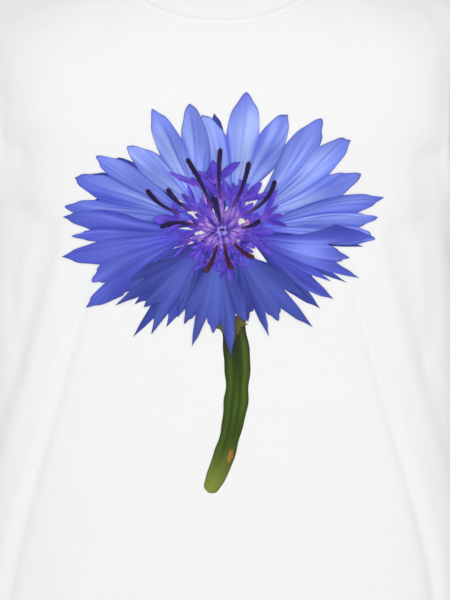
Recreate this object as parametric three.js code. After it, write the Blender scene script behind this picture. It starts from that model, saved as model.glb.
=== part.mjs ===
// A short-sleeved crew-neck T-shirt in the shape that it takes when it is worn: hollow, and open at
// the neck, the cuffs and the hem, with a flower transfer on its front. Millimetres, +Z up. The front
// faces -Y, the wearer's left is +X, and the origin lies midway between the two high shoulder points,
// where the neck seam meets the shoulder seams.
import * as THREE from "three";

// Neck seam: half width at the high shoulder points, and drops below them at front and back.
const NECK_HALF_WIDTH = 97;
const FRONT_NECK_DROP = 57;
const BACK_NECK_DROP = 4;
const NAPE_RISE = 13; // of the shoulder line between the high shoulder points, where the neck comes out
const RIB_HEIGHT = 20;
const RIB_THICKNESS = 2.2;
const RIB_GAP = 1.3;

// Shoulders, chest and hem.
const SHOULDER_TIP_X = 227;
const SHOULDER_DROP = 43;
const SHOULDER_CROWN = 4;
const UNDERARM_Z = -238;
const HEM_Z = -700;
const CHEST_HALF_WIDTH = 222;
const HEM_HALF_WIDTH = 231;
const FRONT_DEPTH = 110;
const BACK_DEPTH = 100;
const WAIST_EASE = 14; // how far front and back would fall in by the hem
const HEM_FLARE = 9; // and how far they come out again
const SQUARENESS = 0.03; // of the body's oval section
const CHEST_FULLNESS = 14; // halfway up the armhole, at the centre line
const YOKE_FULLNESS = 25; // and towards the arms
const ARM_HOLLOW = 20; // how far the panels draw in there, between shoulder tip and underarm
// The way the cloth leaves the shoulder line, as shares outwards along X, forwards and upwards, at the
// centre line and at the armhole. It meets the underarm's level there turned round.
const CENTRE_ROLL = [0, 0.99, -0.12];
const ARM_ROLL = [-0.12, 0.9, -0.4];
const ARM_ROLL_PULL = 1.25;

// Sleeves: the cuff is an oval ring, tilted as an arm held a little away from the body tilts it.
const CUFF_CENTRE = new THREE.Vector3(292, 0, -268);
const CUFF_TILT = THREE.MathUtils.degToRad(36);
const CUFF_HALF_WIDTH = 65;
const CUFF_HALF_DEPTH = 54;
const ARM_ANGLE = THREE.MathUtils.degToRad(30);
// The way a sleeve leaves the armhole, outwards, forwards and downwards, over and under the arm.
const SLEEVE_OUT = 0.84;
const SLEEVE_FORWARD = 0.2;
const SLEEVE_DOWN = 0.54;
const SLEEVE_DOWN_UNDER = 0.35;

// Cloth, seam strips and stitching.
const CLOTH = 1.6;
const SEAM_GAP = 0.3; // between two pieces that are sewn together
const ARMHOLE_GAP = 1.4; // between panel and sleeve edges at the shoulder tip
const ARMHOLE_GAP_UNDER = 4.8; // and at the underarm, where they meet at a sharp angle
const STRIP_GAP = 0.6; // between a strip and the cloth that it lies on
const NECK_STRIP_GAP = 1.9; // and at the neck, where the cloth bends most
const SEAM_WIDTH = 7;
const SEAM_THICKNESS = 1.0;
const TAPE_WIDTH = 11;
const STITCH_THICKNESS = 0.6;
const STITCH_WIDTH = 7; // of the cover stitching at the hem
const NECK_STITCH_WIDTH = 4;
const HEM_DEPTH = 20; // from the hem's edge up to its stitching
const CUFF_STITCHING = [0.84, 0.9]; // from the armhole at 0 to the cuff's edge at 1
const UNDERARM_SEAM = [0.2, 0.66];
const ARMHOLE_SEAM_START = 2; // from the sleeve's edge
const SIDE_SEAM_INSET = 0.01; // of a panel's half width, from its edge
const SIDE_SEAM_DROP = 12; // from the underarm's level
const SIDE_SEAM_RISE = 9; // from the hem's stitching
const SHOULDER_SEAM_ROWS = [0.004, 0.018]; // of a panel's run from the shoulder line
const SHOULDER_SEAM_COLUMNS = [NECK_HALF_WIDTH + 30, SHOULDER_TIP_X - 1];
const TAPE_START = 9; // below the neck seam

// The transfer: a flower head with a toothed outline, and a curved stem.
const HEAD_CENTRE = [-2, -254];
const HEAD_HALF_WIDTH = 148;
const HEAD_HALF_HEIGHT = 112;
const TEETH = 24;
const TOOTH_DEPTH = 0.13;
const STEM_COLUMNS = 4;
const STEM_ROWS = 10;
const STEM_END = [-12, -510];
const STEM_BEND = 26;
const STEM_END_WIDTH = 15;
const FILM = 0.3;
const FILM_GAP = 0.78;

// Facets. Pieces that lie on each other share their columns, so that their facets lie parallel.
const UPPER_ROWS = 13; // from a panel's top edge to the underarm's level
const LOWER_ROWS = 13; // from there to the hem
const NECK_COLUMNS = 16;
const SHOULDER_COLUMNS = 8;
const SLEEVE_COLUMNS = 32;
const SLEEVE_ROWS = 9;
const UPPER_SHARE = 0.42; // of a panel's run from 0 to 1 lies above the underarm
const SHOULDER_ROW = 0.0007; // a panel's first row there, half the shoulder seam's gap from the line
const ROW_CROWDING = 1.4; // above 1, the rows lie closer at a panel's top edge
const COLUMN_CROWDING = 1.5; // and the neck's columns closer at the high shoulder points

const { sin, cos, abs, sign, PI } = Math;
const lerp = THREE.MathUtils.lerp;
const vec = (x, y, z) => new THREE.Vector3(x, y, z);

const FRONT = -1;
const BACK = 1;
const acrossAt = (shoulderX) => (2 / PI) * Math.asin(shoulderX / SHOULDER_TIP_X);
const NECK_SHARE = acrossAt(NECK_HALF_WIDTH);

// The body's oval section below the underarm, at across from -1 to 1, side seam to side seam.
function bodyOval(face, across, z) {
  const down = (UNDERARM_Z - z) / (UNDERARM_Z - HEM_Z);
  const halfWidth = lerp(CHEST_HALF_WIDTH, HEM_HALF_WIDTH, down);
  const chestDepth = face === FRONT ? FRONT_DEPTH : BACK_DEPTH;
  const depth = chestDepth - WAIST_EASE * down + HEM_FLARE * down * down;
  const turn = (across * PI) / 2;
  const wide = (sin(turn) + SQUARENESS * sin(3 * turn)) / (1 - SQUARENESS);
  const deep = (cos(turn) - SQUARENESS * cos(3 * turn)) / (1 - SQUARENESS);
  return vec(halfWidth * wide, face * depth * deep, z);
}

// The shoulder line, which runs on over the nape between the high shoulder points.
function shoulderLine(across) {
  const x = SHOULDER_TIP_X * sin((across * PI) / 2);
  if (abs(x) < NECK_HALF_WIDTH) return vec(x, 0, NAPE_RISE * (1 - (x / NECK_HALF_WIDTH) ** 2));
  const along = (abs(x) - NECK_HALF_WIDTH) / (SHOULDER_TIP_X - NECK_HALF_WIDTH);
  return vec(x, 0, SHOULDER_CROWN * sin(PI * along) - SHOULDER_DROP * along);
}

function hermite(start, startPull, end, endPull, u) {
  const u2 = u * u;
  const u3 = u2 * u;
  return start
    .clone()
    .multiplyScalar(2 * u3 - 3 * u2 + 1)
    .addScaledVector(startPull, u3 - 2 * u2 + u)
    .addScaledVector(end, 3 * u2 - 2 * u3)
    .addScaledVector(endPull, u3 - u2);
}

// A point of a body panel: down runs from 0 on the shoulder line through UPPER_SHARE at the
// underarm's level to 1 at the hem. The cloth rolls over the shoulder, and its sides follow the
// armhole.
function panelPoint(face, across, down) {
  if (down >= UPPER_SHARE) {
    const share = (down - UPPER_SHARE) / (1 - UPPER_SHARE);
    return bodyOval(face, across, lerp(UNDERARM_Z, HEM_Z, share));
  }
  const top = shoulderLine(across);
  const chest = bodyOval(face, across, UNDERARM_Z);
  const reach = top.distanceTo(chest);
  const armness = abs(across) ** 6;
  const rollOf = ([outwards, forwards, upwards]) =>
    vec(outwards * sign(across), face * forwards, upwards);
  const armRoll = rollOf(ARM_ROLL);
  const armReturn = vec(-armRoll.x, -armRoll.y, armRoll.z);
  const topPull = rollOf(CENTRE_ROLL)
    .lerp(armRoll, armness)
    .multiplyScalar(reach * lerp(1, ARM_ROLL_PULL, armness));
  const chestPull = vec(0, 0, -1).lerp(armReturn, armness).multiplyScalar(reach);
  const u = down / UPPER_SHARE;
  const swell = 16 * u * u * (1 - u) * (1 - u) * (1 - abs(across) ** 10);
  const towardsArms = THREE.MathUtils.smoothstep(abs(across), 0, 0.5);
  return hermite(top, topPull, chest, chestPull, u).add(
    vec(
      -sign(across) * ARM_HOLLOW * swell * abs(across) ** 1.5,
      face * swell * lerp(CHEST_FULLNESS, YOKE_FULLNESS, towardsArms),
      0,
    ),
  );
}

// Where the neck seam crosses a panel's line, as the down of that point. Beyond the high shoulder
// points it is the shoulder seam.
function topOf(face, across) {
  if (abs(across) >= NECK_SHARE - 1e-9) return SHOULDER_ROW;
  const drop = face === FRONT ? FRONT_NECK_DROP : BACK_NECK_DROP;
  let [above, below] = [0, UPPER_SHARE];
  for (let i = 0; i < 40; i++) {
    const middle = (above + below) / 2;
    const { x, z } = panelPoint(face, across, middle);
    const seamZ = -drop * Math.sqrt(Math.max(0, 1 - (x / NECK_HALF_WIDTH) ** 2));
    if (z > seamZ) above = middle;
    else below = middle;
  }
  return Math.max(above, SHOULDER_ROW);
}

// The armhole as a closed curve: turn 0 at the shoulder tip, PI at the underarm, front first.
function armholePoint(side, turn) {
  const face = turn <= PI ? FRONT : BACK;
  const share = turn <= PI ? turn / PI : 2 - turn / PI;
  return panelPoint(face, side, share * UPPER_SHARE);
}

function cuffPoint(side, turn) {
  const wide = CUFF_HALF_WIDTH * cos(turn);
  return vec(
    side * (CUFF_CENTRE.x + wide * cos(CUFF_TILT)),
    -CUFF_HALF_DEPTH * sin(turn),
    CUFF_CENTRE.z + wide * sin(CUFF_TILT),
  );
}

// A point of a sleeve: turn goes round it as on the armhole, along from 0 there to 1 at the cuff.
function sleevePoint(side, turn, along) {
  const start = armholePoint(side, turn);
  const end = cuffPoint(side, turn);
  const reach = start.distanceTo(end);
  const underness = (1 - cos(turn)) / 2;
  const fall = lerp(SLEEVE_DOWN, SLEEVE_DOWN_UNDER, underness);
  const leave = vec(SLEEVE_OUT * side, SLEEVE_FORWARD * sin(turn), -fall).normalize();
  const hang = vec(side * sin(ARM_ANGLE), 0, -cos(ARM_ANGLE));
  return hermite(start, leave.multiplyScalar(reach), end, hang.multiplyScalar(reach), along);
}

// The unit normal of a surface function of two parameters, times hand, which is 1 or -1.
function normalOf(surface, a, b, hand) {
  const h = 1e-3;
  const alongA = surface(a + h, b).sub(surface(a - h, b));
  const alongB = surface(a, b + h).sub(surface(a, b - h));
  return alongA.cross(alongB).normalize().multiplyScalar(hand);
}

// A closed solid from a sheet of points with normals, between two distances along those normals.
function thicken(points, triangles, inner, outer) {
  const count = points.length;
  const position = new Float32Array(count * 6);
  points.forEach(({ at, out }, i) => {
    at.clone().addScaledVector(out, outer).toArray(position, i * 3);
    at.clone().addScaledVector(out, inner).toArray(position, (count + i) * 3);
  });
  const [a, b, c] = triangles[0].map((i) => points[i].at);
  const facing = b.clone().sub(a).cross(c.clone().sub(a)).dot(points[triangles[0][0]].out);
  const faces = facing > 0 ? triangles : triangles.map(([p, q, r]) => [p, r, q]);
  const edges = new Set(faces.flatMap(([p, q, r]) => [`${p},${q}`, `${q},${r}`, `${r},${p}`]));
  const index = [];
  for (const [p, q, r] of faces) index.push(p, q, r, count + p, count + r, count + q);
  for (const edge of edges) {
    const [p, q] = edge.split(",").map(Number);
    if (!edges.has(`${q},${p}`)) index.push(p, count + p, q, q, count + p, count + q);
  }
  const geometry = new THREE.BufferGeometry();
  geometry.setAttribute("position", new THREE.BufferAttribute(position, 3));
  geometry.setIndex(index);
  return geometry;
}

// The triangles of a grid whose points are stored row by row. A closed grid joins its ends.
function gridTriangles(rows, columns, closed = false) {
  const triangles = [];
  for (let r = 0; r + 1 < rows; r++) {
    for (let c = 0; c + (closed ? 0 : 1) < columns; c++) {
      const next = (c + 1) % columns;
      const [p, q] = [r * columns + c, r * columns + next];
      triangles.push([p, q, p + columns], [q, q + columns, p + columns]);
    }
  }
  return triangles;
}

// A closed solid over a grid of parameters, from a surface function and its hand.
function gridSolid(surface, hand, rows, columns, inner, outer, closed = false) {
  const points = rows.flatMap((b) =>
    columns.map((a) => ({ at: surface(a, b), out: normalOf(surface, a, b, hand) })),
  );
  return thicken(points, gridTriangles(rows.length, columns.length, closed), inner, outer);
}

const steps = (count, from, to) =>
  Array.from({ length: count }, (_, i) => lerp(from, to, i / (count - 1)));
const turns = (count) => Array.from({ length: count }, (_, i) => (i / count) * 2 * PI);

const shirt = new THREE.Group();
const white = { color: 0xf4f4f3, roughness: 0.9, metalness: 0 };
const thread = { color: 0xf8f8f7, roughness: 0.7, metalness: 0 };
const ink = { color: 0x5a68d8, roughness: 0.6, metalness: 0 };

function add(name, geometry, finish) {
  const mesh = new THREE.Mesh(geometry, new THREE.MeshStandardMaterial(finish));
  mesh.name = name;
  shirt.add(mesh);
}

// Front and back panels, with a grid column on each end of the neck seam.
const panelOf = (face) => (across, down) => panelPoint(face, across, down);
const sideEdge = 1 - SEAM_GAP / (PI * BACK_DEPTH);
// Turns round the neck, from 0 at the front, closest at the high shoulder points.
const neckTurns = steps(NECK_COLUMNS + 1, -1, 1).map(
  (share) => ((sign(share) * PI) / 2) * (1 - (1 - abs(share)) ** COLUMN_CROWDING),
);
const neckRound = [...neckTurns.slice(1), ...neckTurns.slice(1).map((turn) => turn + PI)];
const neckColumns = neckTurns.map((turn) => NECK_SHARE * sin(turn));
const panelColumns = [
  ...steps(SHOULDER_COLUMNS + 1, -sideEdge, -NECK_SHARE),
  ...neckColumns.slice(1, -1),
  ...steps(SHOULDER_COLUMNS + 1, NECK_SHARE, sideEdge),
];
// Rows 0 to 1 fan out from the top edge, closest where the cloth bends most, and 1 to 2 are level.
const panelRows = [
  ...steps(UPPER_ROWS, 0, 1).map((row) => row ** ROW_CROWDING),
  ...steps(LOWER_ROWS + 1, 1, 2).slice(1),
];
function panelSolid(face) {
  const points = panelRows.flatMap((row) =>
    panelColumns.map((across) => {
      const top = topOf(face, across);
      const down = row < 1 ? lerp(top, UPPER_SHARE, row) : lerp(UPPER_SHARE, 1, row - 1);
      return {
        at: panelPoint(face, across, down),
        out: normalOf(panelOf(face), across, down, face),
      };
    }),
  );
  const triangles = gridTriangles(panelRows.length, panelColumns.length);
  return thicken(points, triangles, -CLOTH / 2, CLOTH / 2);
}
for (const [name, face] of [
  ["front_panel", FRONT],
  ["back_panel", BACK],
]) {
  add(name, panelSolid(face), white);
}

// Strips inside the shirt lie on its inner face. The hem's stitching runs right round.
const stripOuter = -(CLOTH / 2 + STRIP_GAP);
const seamInner = stripOuter - SEAM_THICKNESS;
const stitchInner = stripOuter - STITCH_THICKNESS;
const panelLength = UNDERARM_Z - HEM_Z;
const downAt = (z) => lerp(UPPER_SHARE, 1, (UNDERARM_Z - z) / panelLength);
const wholeBody = (turn, z) => {
  const face = cos(turn) > 0 ? FRONT : BACK;
  const across = (2 / PI) * Math.asin(sin(turn));
  return bodyOval(face, across, z);
};
const frontTurns = panelColumns.map((across) => (across * PI) / 2);
const bodyTurns = [...frontTurns, ...frontTurns.map((turn) => PI + turn)];
const hemLine = HEM_Z + HEM_DEPTH;
const hemRows = [hemLine - STITCH_WIDTH / 2, hemLine + STITCH_WIDTH / 2];
add(
  "hem_stitching",
  gridSolid(wholeBody, 1, hemRows, bodyTurns, stitchInner, stripOuter, true),
  thread,
);

for (const [sideName, side] of [
  ["left", 1],
  ["right", -1],
]) {
  // The sleeve, from just outside the armhole to the cuff.
  const startGap = (turn) => lerp(ARMHOLE_GAP, ARMHOLE_GAP_UNDER, (1 - cos(turn)) / 2);
  const sleeve = (turn, along) => {
    const reach = armholePoint(side, turn).distanceTo(cuffPoint(side, turn));
    return sleevePoint(side, turn, lerp(startGap(turn) / reach, 1, along));
  };
  const round = turns(SLEEVE_COLUMNS);
  const rows = steps(SLEEVE_ROWS, 0, 1);
  const hand = -side;
  add(
    `${sideName}_sleeve`,
    gridSolid(sleeve, hand, rows, round, -CLOTH / 2, CLOTH / 2, true),
    white,
  );
  // Its armhole seam allowance, its underarm seam and its cuff stitching, all inside.
  const armholeBand = (turn, width) => {
    const reach = armholePoint(side, turn).distanceTo(cuffPoint(side, turn));
    return sleevePoint(side, turn, (startGap(turn) + width) / reach);
  };
  add(
    `${sideName}_armhole_seam`,
    gridSolid(
      armholeBand, hand, [ARMHOLE_SEAM_START, ARMHOLE_SEAM_START + SEAM_WIDTH], round,
      seamInner, stripOuter, true,
    ),
    white,
  );
  const underTurn = SEAM_WIDTH / CUFF_HALF_DEPTH / 2;
  add(
    `${sideName}_underarm_seam`,
    gridSolid(
      sleeve, hand, steps(6, ...UNDERARM_SEAM), steps(3, PI - underTurn, PI + underTurn),
      seamInner, stripOuter,
    ),
    white,
  );
  add(
    `${sideName}_cuff_stitching`,
    gridSolid(sleeve, hand, CUFF_STITCHING, round, stitchInner, stripOuter, true),
    thread,
  );
  // The side seam's allowance is pressed to the back, and so is the shoulder seam's.
  const back = panelOf(BACK);
  const sideTurn = SEAM_WIDTH / ((BACK_DEPTH * PI) / 2);
  const seamEdge = sideEdge - SIDE_SEAM_INSET;
  const seamEdges = [side * (seamEdge - sideTurn), side * seamEdge];
  add(
    `${sideName}_side_seam`,
    gridSolid(
      back, BACK, steps(LOWER_ROWS, downAt(UNDERARM_Z - SIDE_SEAM_DROP), downAt(hemLine + SIDE_SEAM_RISE)),
      seamEdges, seamInner, stripOuter,
    ),
    white,
  );
  const [innerEnd, outerEnd] = SHOULDER_SEAM_COLUMNS.map((x) => side * acrossAt(x));
  const shoulderColumns = steps(SHOULDER_COLUMNS + 1, innerEnd, outerEnd);
  add(
    `${sideName}_shoulder_seam`,
    gridSolid(
      back, BACK, SHOULDER_SEAM_ROWS, shoulderColumns, seamInner, stripOuter,
    ),
    white,
  );
}

// The neck seam as a closed curve, turn 0 at the front, with the cloth's outward normal there and the
// direction that leads away from the opening along the cloth.
function neckFrame(turn) {
  const faceAt = (t) => (cos(t) > 0 ? FRONT : BACK);
  const neckCurve = (t) => {
    const across = NECK_SHARE * sin(t);
    return panelPoint(faceAt(t), across, topOf(faceAt(t), across));
  };
  const h = 1e-3;
  const tangent = neckCurve(turn + h).sub(neckCurve(turn - h)).normalize();
  const face = faceAt(turn);
  const across = NECK_SHARE * sin(turn);
  const out = normalOf(panelOf(face), across, topOf(face, across), face);
  out.addScaledVector(tangent, -out.dot(tangent)).normalize();
  return { at: neckCurve(turn), out, away: tangent.clone().cross(out) };
}

// A ring round the neck: profile lists its corners as distance up the rib and distance outwards.
function neckRing(profile, rise) {
  const points = [];
  for (const turn of neckRound) {
    const { at, away, out } = neckFrame(turn);
    const up = rise(turn, away);
    const outward = out.clone().addScaledVector(up, -out.dot(up)).normalize();
    for (const [high, far] of profile)
      points.push(at.clone().addScaledVector(up, high).addScaledVector(outward, far));
  }
  const corners = profile.length;
  const position = new Float32Array(points.flatMap((p) => p.toArray()));
  const index = [];
  for (let ring = 0; ring < neckRound.length; ring++) {
    for (let corner = 0; corner < corners; corner++) {
      const nextRing = ((ring + 1) % neckRound.length) * corners;
      const nextCorner = (corner + 1) % corners;
      const [p, q] = [ring * corners + corner, ring * corners + nextCorner];
      const [r, s] = [nextRing + corner, nextRing + nextCorner];
      index.push(p, q, r, q, s, r);
    }
  }
  const geometry = new THREE.BufferGeometry();
  geometry.setAttribute("position", new THREE.BufferAttribute(position, 3));
  geometry.setIndex(index);
  return geometry;
}

const half = RIB_THICKNESS / 2;
const ribProfile = [
  [RIB_GAP, -half],
  [RIB_HEIGHT - half, -half],
  [RIB_HEIGHT, 0],
  [RIB_HEIGHT - half, half],
  [RIB_GAP, half],
];
const ribLean = (turn) => {
  const level = abs(sin(turn)) ** 2;
  const inward = cos(turn) > 0 ? 0.42 : -0.3;
  return vec(-0.72 * sin(turn), inward * abs(cos(turn)), lerp(0.92, 0.72, level)).normalize();
};
add("neck_rib", neckRing(ribProfile, ribLean), white);

// Inside the neck: the cover stitching all round, and the tape across the back below it.
const alongCloth = (turn, away) => away;
const neckStripOuter = -(CLOTH / 2 + NECK_STRIP_GAP);
const bandProfile = (from, width, inner, outer) => [
  [from, outer],
  [from + width, outer],
  [from + width, inner],
  [from, inner],
];
const neckBand = bandProfile(
  1, NECK_STITCH_WIDTH, neckStripOuter - STITCH_THICKNESS, neckStripOuter,
);
add("neck_stitching", neckRing(neckBand, alongCloth), thread);

const belowNeck = (across, distance) => {
  const speed = shoulderLine(across).distanceTo(bodyOval(BACK, across, UNDERARM_Z)) / UPPER_SHARE;
  return panelPoint(BACK, across, topOf(BACK, across) + distance / speed);
};
add(
  "back_neck_tape",
  gridSolid(
    belowNeck, BACK, [TAPE_START, TAPE_START + TAPE_WIDTH],
    neckColumns.slice(3, -3), stitchInner, stripOuter,
  ),
  white,
);

// The front panel's point that lies at x and z in the view from the front, found by Newton's method.
function frontPoint(x, z) {
  let across = (2 / PI) * Math.asin(x / CHEST_HALF_WIDTH);
  let down = downAt(z);
  const h = 1e-4;
  for (let i = 0; i < 20; i++) {
    const p = panelPoint(FRONT, across, down);
    const pa = panelPoint(FRONT, across + h, down).sub(p).divideScalar(h);
    const pd = panelPoint(FRONT, across, down + h).sub(p).divideScalar(h);
    const det = pa.x * pd.z - pd.x * pa.z;
    across += ((x - p.x) * pd.z - (z - p.z) * pd.x) / det;
    down += ((z - p.z) * pa.x - (x - p.x) * pa.z) / det;
  }
  return {
    at: panelPoint(FRONT, across, down),
    out: normalOf(panelOf(FRONT), across, down, FRONT),
  };
}

// The film of ink: rings of the flower head out to its teeth, then the stem from its lowest columns.
function flowerFilm() {
  const perTooth = 4;
  const spokes = TEETH * perTooth;
  const rings = steps(9, 0.08, 1);
  const flat = [HEAD_CENTRE];
  const triangles = [];
  rings.forEach((ring, level) => {
    for (let spoke = 0; spoke < spokes; spoke++) {
      const turn = ((spoke + 0.5) / spokes) * 2 * PI - PI / 2;
      const tooth = abs(((spoke + 0.5) % perTooth) / 2 - 1) * TOOTH_DEPTH * 2;
      const reach = ring * (ring === 1 ? 1 - tooth + TOOTH_DEPTH / 2 : 1 - TOOTH_DEPTH / 2);
      flat.push([
        HEAD_CENTRE[0] + HEAD_HALF_WIDTH * reach * cos(turn),
        HEAD_CENTRE[1] + HEAD_HALF_HEIGHT * reach * sin(turn),
      ]);
      const next = (spoke + 1) % spokes;
      const [p, q] = [1 + level * spokes + spoke, 1 + level * spokes + next];
      if (level === 0) triangles.push([0, p, q]);
      else triangles.push([p - spokes, p, q], [p - spokes, q, q - spokes]);
    }
  });
  // The head's lowest edge points, from left to right, carry the stem's columns.
  const rim = 1 + (rings.length - 1) * spokes;
  let above = Array.from(
    { length: STEM_COLUMNS },
    (_, i) => rim + ((i - STEM_COLUMNS / 2 + spokes) % spokes),
  );
  const left = flat[above[0]];
  const right = flat[above[STEM_COLUMNS - 1]];
  for (let row = 1; row <= STEM_ROWS; row++) {
    const share = row / STEM_ROWS;
    const width = lerp(right[0] - left[0], STEM_END_WIDTH, share);
    const bend = STEM_BEND * 2 * share * (1 - share);
    const middle = lerp((left[0] + right[0]) / 2, STEM_END[0], share) + bend;
    const z = lerp(left[1], STEM_END[1], share);
    const below = above.map((_, i) => {
      flat.push([middle + width * (i / (STEM_COLUMNS - 1) - 0.5), z]);
      return flat.length - 1;
    });
    for (let i = 0; i + 1 < STEM_COLUMNS; i++) {
      triangles.push([above[i], below[i], above[i + 1]], [above[i + 1], below[i], below[i + 1]]);
    }
    above = below;
  }
  const points = flat.map(([x, z]) => frontPoint(x, z));
  const inner = CLOTH / 2 + FILM_GAP;
  return thicken(points, triangles, inner, inner + FILM);
}
add("flower_print", flowerFilm(), ink);

export default shirt;
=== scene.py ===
"""A white crew-neck T-shirt in its worn shape, with a cornflower printed on its chest.

Metres, +Z up. The front faces -Y, the wearer's left is +X, and the origin lies midway between the two
high shoulder points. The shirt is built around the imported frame: each cloth, knit and thread piece
stands for the plain solid of the same place.
"""

import logging
import math
from collections.abc import Callable
from dataclasses import dataclass, field
from enum import Enum
from functools import partial

import bpy
import numpy as np
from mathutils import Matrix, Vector

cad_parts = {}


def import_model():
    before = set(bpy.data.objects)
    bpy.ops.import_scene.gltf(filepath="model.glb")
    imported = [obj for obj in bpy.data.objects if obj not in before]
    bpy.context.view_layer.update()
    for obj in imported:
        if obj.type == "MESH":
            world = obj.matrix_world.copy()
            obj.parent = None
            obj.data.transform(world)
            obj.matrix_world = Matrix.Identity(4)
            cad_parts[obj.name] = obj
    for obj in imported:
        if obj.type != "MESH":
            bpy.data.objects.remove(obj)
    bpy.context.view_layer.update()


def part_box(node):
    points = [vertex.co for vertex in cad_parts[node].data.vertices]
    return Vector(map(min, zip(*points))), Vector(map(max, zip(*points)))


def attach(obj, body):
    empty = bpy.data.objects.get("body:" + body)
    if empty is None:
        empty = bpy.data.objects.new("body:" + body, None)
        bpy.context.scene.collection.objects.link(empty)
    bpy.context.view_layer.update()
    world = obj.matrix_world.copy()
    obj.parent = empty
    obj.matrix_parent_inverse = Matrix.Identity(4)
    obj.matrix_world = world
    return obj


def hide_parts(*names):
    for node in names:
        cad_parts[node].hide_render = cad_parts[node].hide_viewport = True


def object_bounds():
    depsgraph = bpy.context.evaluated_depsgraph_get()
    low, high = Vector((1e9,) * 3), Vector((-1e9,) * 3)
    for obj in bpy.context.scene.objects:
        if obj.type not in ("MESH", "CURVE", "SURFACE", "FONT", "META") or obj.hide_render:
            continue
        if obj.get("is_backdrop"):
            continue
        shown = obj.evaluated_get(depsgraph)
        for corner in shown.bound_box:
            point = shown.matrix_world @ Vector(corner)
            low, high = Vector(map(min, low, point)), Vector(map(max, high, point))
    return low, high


LOG = logging.getLogger("tshirt")
Array = np.ndarray
Colour = tuple[float, float, float]
SIDES = ((1.0, "left"), (-1.0, "right"))
# A turned-in edge is this many times as thick as the single cloth.
DOUBLED = 2.15
# The least half width of a stroke of ink.
HAIRLINE = 2e-5


# ---- Small maths ----


def lerp(start: Array | float, end: Array | float, share: Array | float) -> Array | float:
    """Returns the value at a share of the way from start to end."""
    return start + (end - start) * share


def smoothstep(value: Array | float, low: float, high: float) -> Array:
    """Returns 0 below low, 1 above high, and an S-curve between them."""
    share = np.clip((np.asarray(value, float) - low) / (high - low), 0.0, 1.0)
    return share * share * (3.0 - 2.0 * share)


def bell(value: Array | float, width: float) -> Array:
    """Returns a smooth bump that is 1 at 0 and fades over width."""
    return np.exp(-np.square(np.asarray(value, float) / width))


def length_of(vectors: Array) -> Array:
    """Returns the lengths of the vectors in the last axis."""
    return np.sqrt(np.sum(vectors * vectors, axis=-1))


def unit(vectors: Array) -> Array:
    """Returns the vectors of the last axis at length 1."""
    return vectors / np.maximum(length_of(vectors), 1e-12)[..., None]


def stack(x: Array, y: Array, z: Array) -> Array:
    """Returns points from their coordinates, which are spread to one shape."""
    return np.stack(np.broadcast_arrays(x, y, z), axis=-1).astype(float)


def hermite(start: Array, start_pull: Array, end: Array, end_pull: Array, share: Array) -> Array:
    """Returns the points of cubic curves between start and end, which leave and arrive along the pulls."""
    u = share[..., None]
    u2, u3 = u * u, u * u * u
    return (
        start * (2 * u3 - 3 * u2 + 1)
        + start_pull * (u3 - 2 * u2 + u)
        + end * (3 * u2 - 2 * u3)
        + end_pull * (u3 - u2)
    )


def normals_of(surface: Callable[[Array, Array], Array], first: Array, second: Array, step: float) -> Array:
    """Returns the unit normals of a surface, found by a small step along each of its two coordinates."""
    along_first = surface(first + step, second) - surface(first - step, second)
    along_second = surface(first, second + step) - surface(first, second - step)
    return unit(np.cross(along_first, along_second))


def run_along(points: Array) -> Array:
    """Returns each point's distance from the first along a line of points."""
    return np.concatenate([[0.0], np.cumsum(length_of(np.diff(points, axis=0)))])


def soft_least(value: Array, limit: float, rounding: float) -> Array:
    """Returns the lesser of value and limit, with the bend between them rounded."""
    return -rounding * np.log(np.exp(-value / rounding) + np.exp(-limit / rounding))


@dataclass(frozen=True)
class Ripple:
    """A smooth, repeatable unevenness: a few waves in fixed random directions.

    Fields:
        wavelength: the typical distance between two crests.
        waves: how many waves are laid over each other.
        seed: which unevenness of its kind this is.
        stretch: how much longer the waves are along Z than across it.
    """

    wavelength: float
    waves: int = 9
    seed: int = 1
    stretch: float = 1.0

    def at(self, points: Array) -> Array:
        """Returns the unevenness at points, about -1 to 1."""
        rng = np.random.default_rng(self.seed)
        total = np.zeros(points.shape[:-1])
        for _ in range(self.waves):
            direction = unit(rng.normal(size=3))
            direction[2] /= self.stretch
            pace = 2 * math.pi / (self.wavelength * rng.uniform(0.7, 1.5))
            total += np.cos(points @ direction * pace + rng.uniform(0, 2 * math.pi))
        return total / math.sqrt(self.waves)


@dataclass(frozen=True)
class Crease:
    """A soft groove pressed into cloth between two points of a flat view of it.

    Fields:
        start: one end, as two coordinates of the view.
        end: the other end.
        depth: how deep the groove is at its middle.
        width: the half width over which it fades.
        bow: how far its middle is pushed aside.
        lip: the height of the soft ridges beside it, as a share of its depth.
        trail: how many times wider it fades out on its lower side.
    """

    start: tuple[float, float]
    end: tuple[float, float]
    depth: float
    width: float
    bow: float = 0.0
    lip: float = 0.35
    trail: float = 1.0

    def height(self, across: Array, up: Array) -> Array:
        """Returns how far the cloth is moved outwards, which is below 0 in the groove."""
        step = (self.end[0] - self.start[0], self.end[1] - self.start[1])
        span = math.hypot(*step)
        along_x, along_y = step[0] / span, step[1] / span
        from_x, from_y = across - self.start[0], up - self.start[1]
        share = (from_x * along_x + from_y * along_y) / span
        aside = from_y * along_x - from_x * along_y - self.bow * 4 * share * (1 - share)
        aside = np.where(aside * along_x < 0, aside / self.trail, aside)
        taper = smoothstep(share, 0.0, 0.3) * (1 - smoothstep(share, 0.7, 1.0))
        shape = bell(aside, self.width) * (1 + self.lip) - self.lip * bell(aside, 2.4 * self.width)
        return -self.depth * shape * taper


# ---- The form of the shirt ----


class Face(Enum):
    """The two body panels, by the sign of their Y."""

    FRONT = -1.0
    BACK = 1.0


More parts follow.
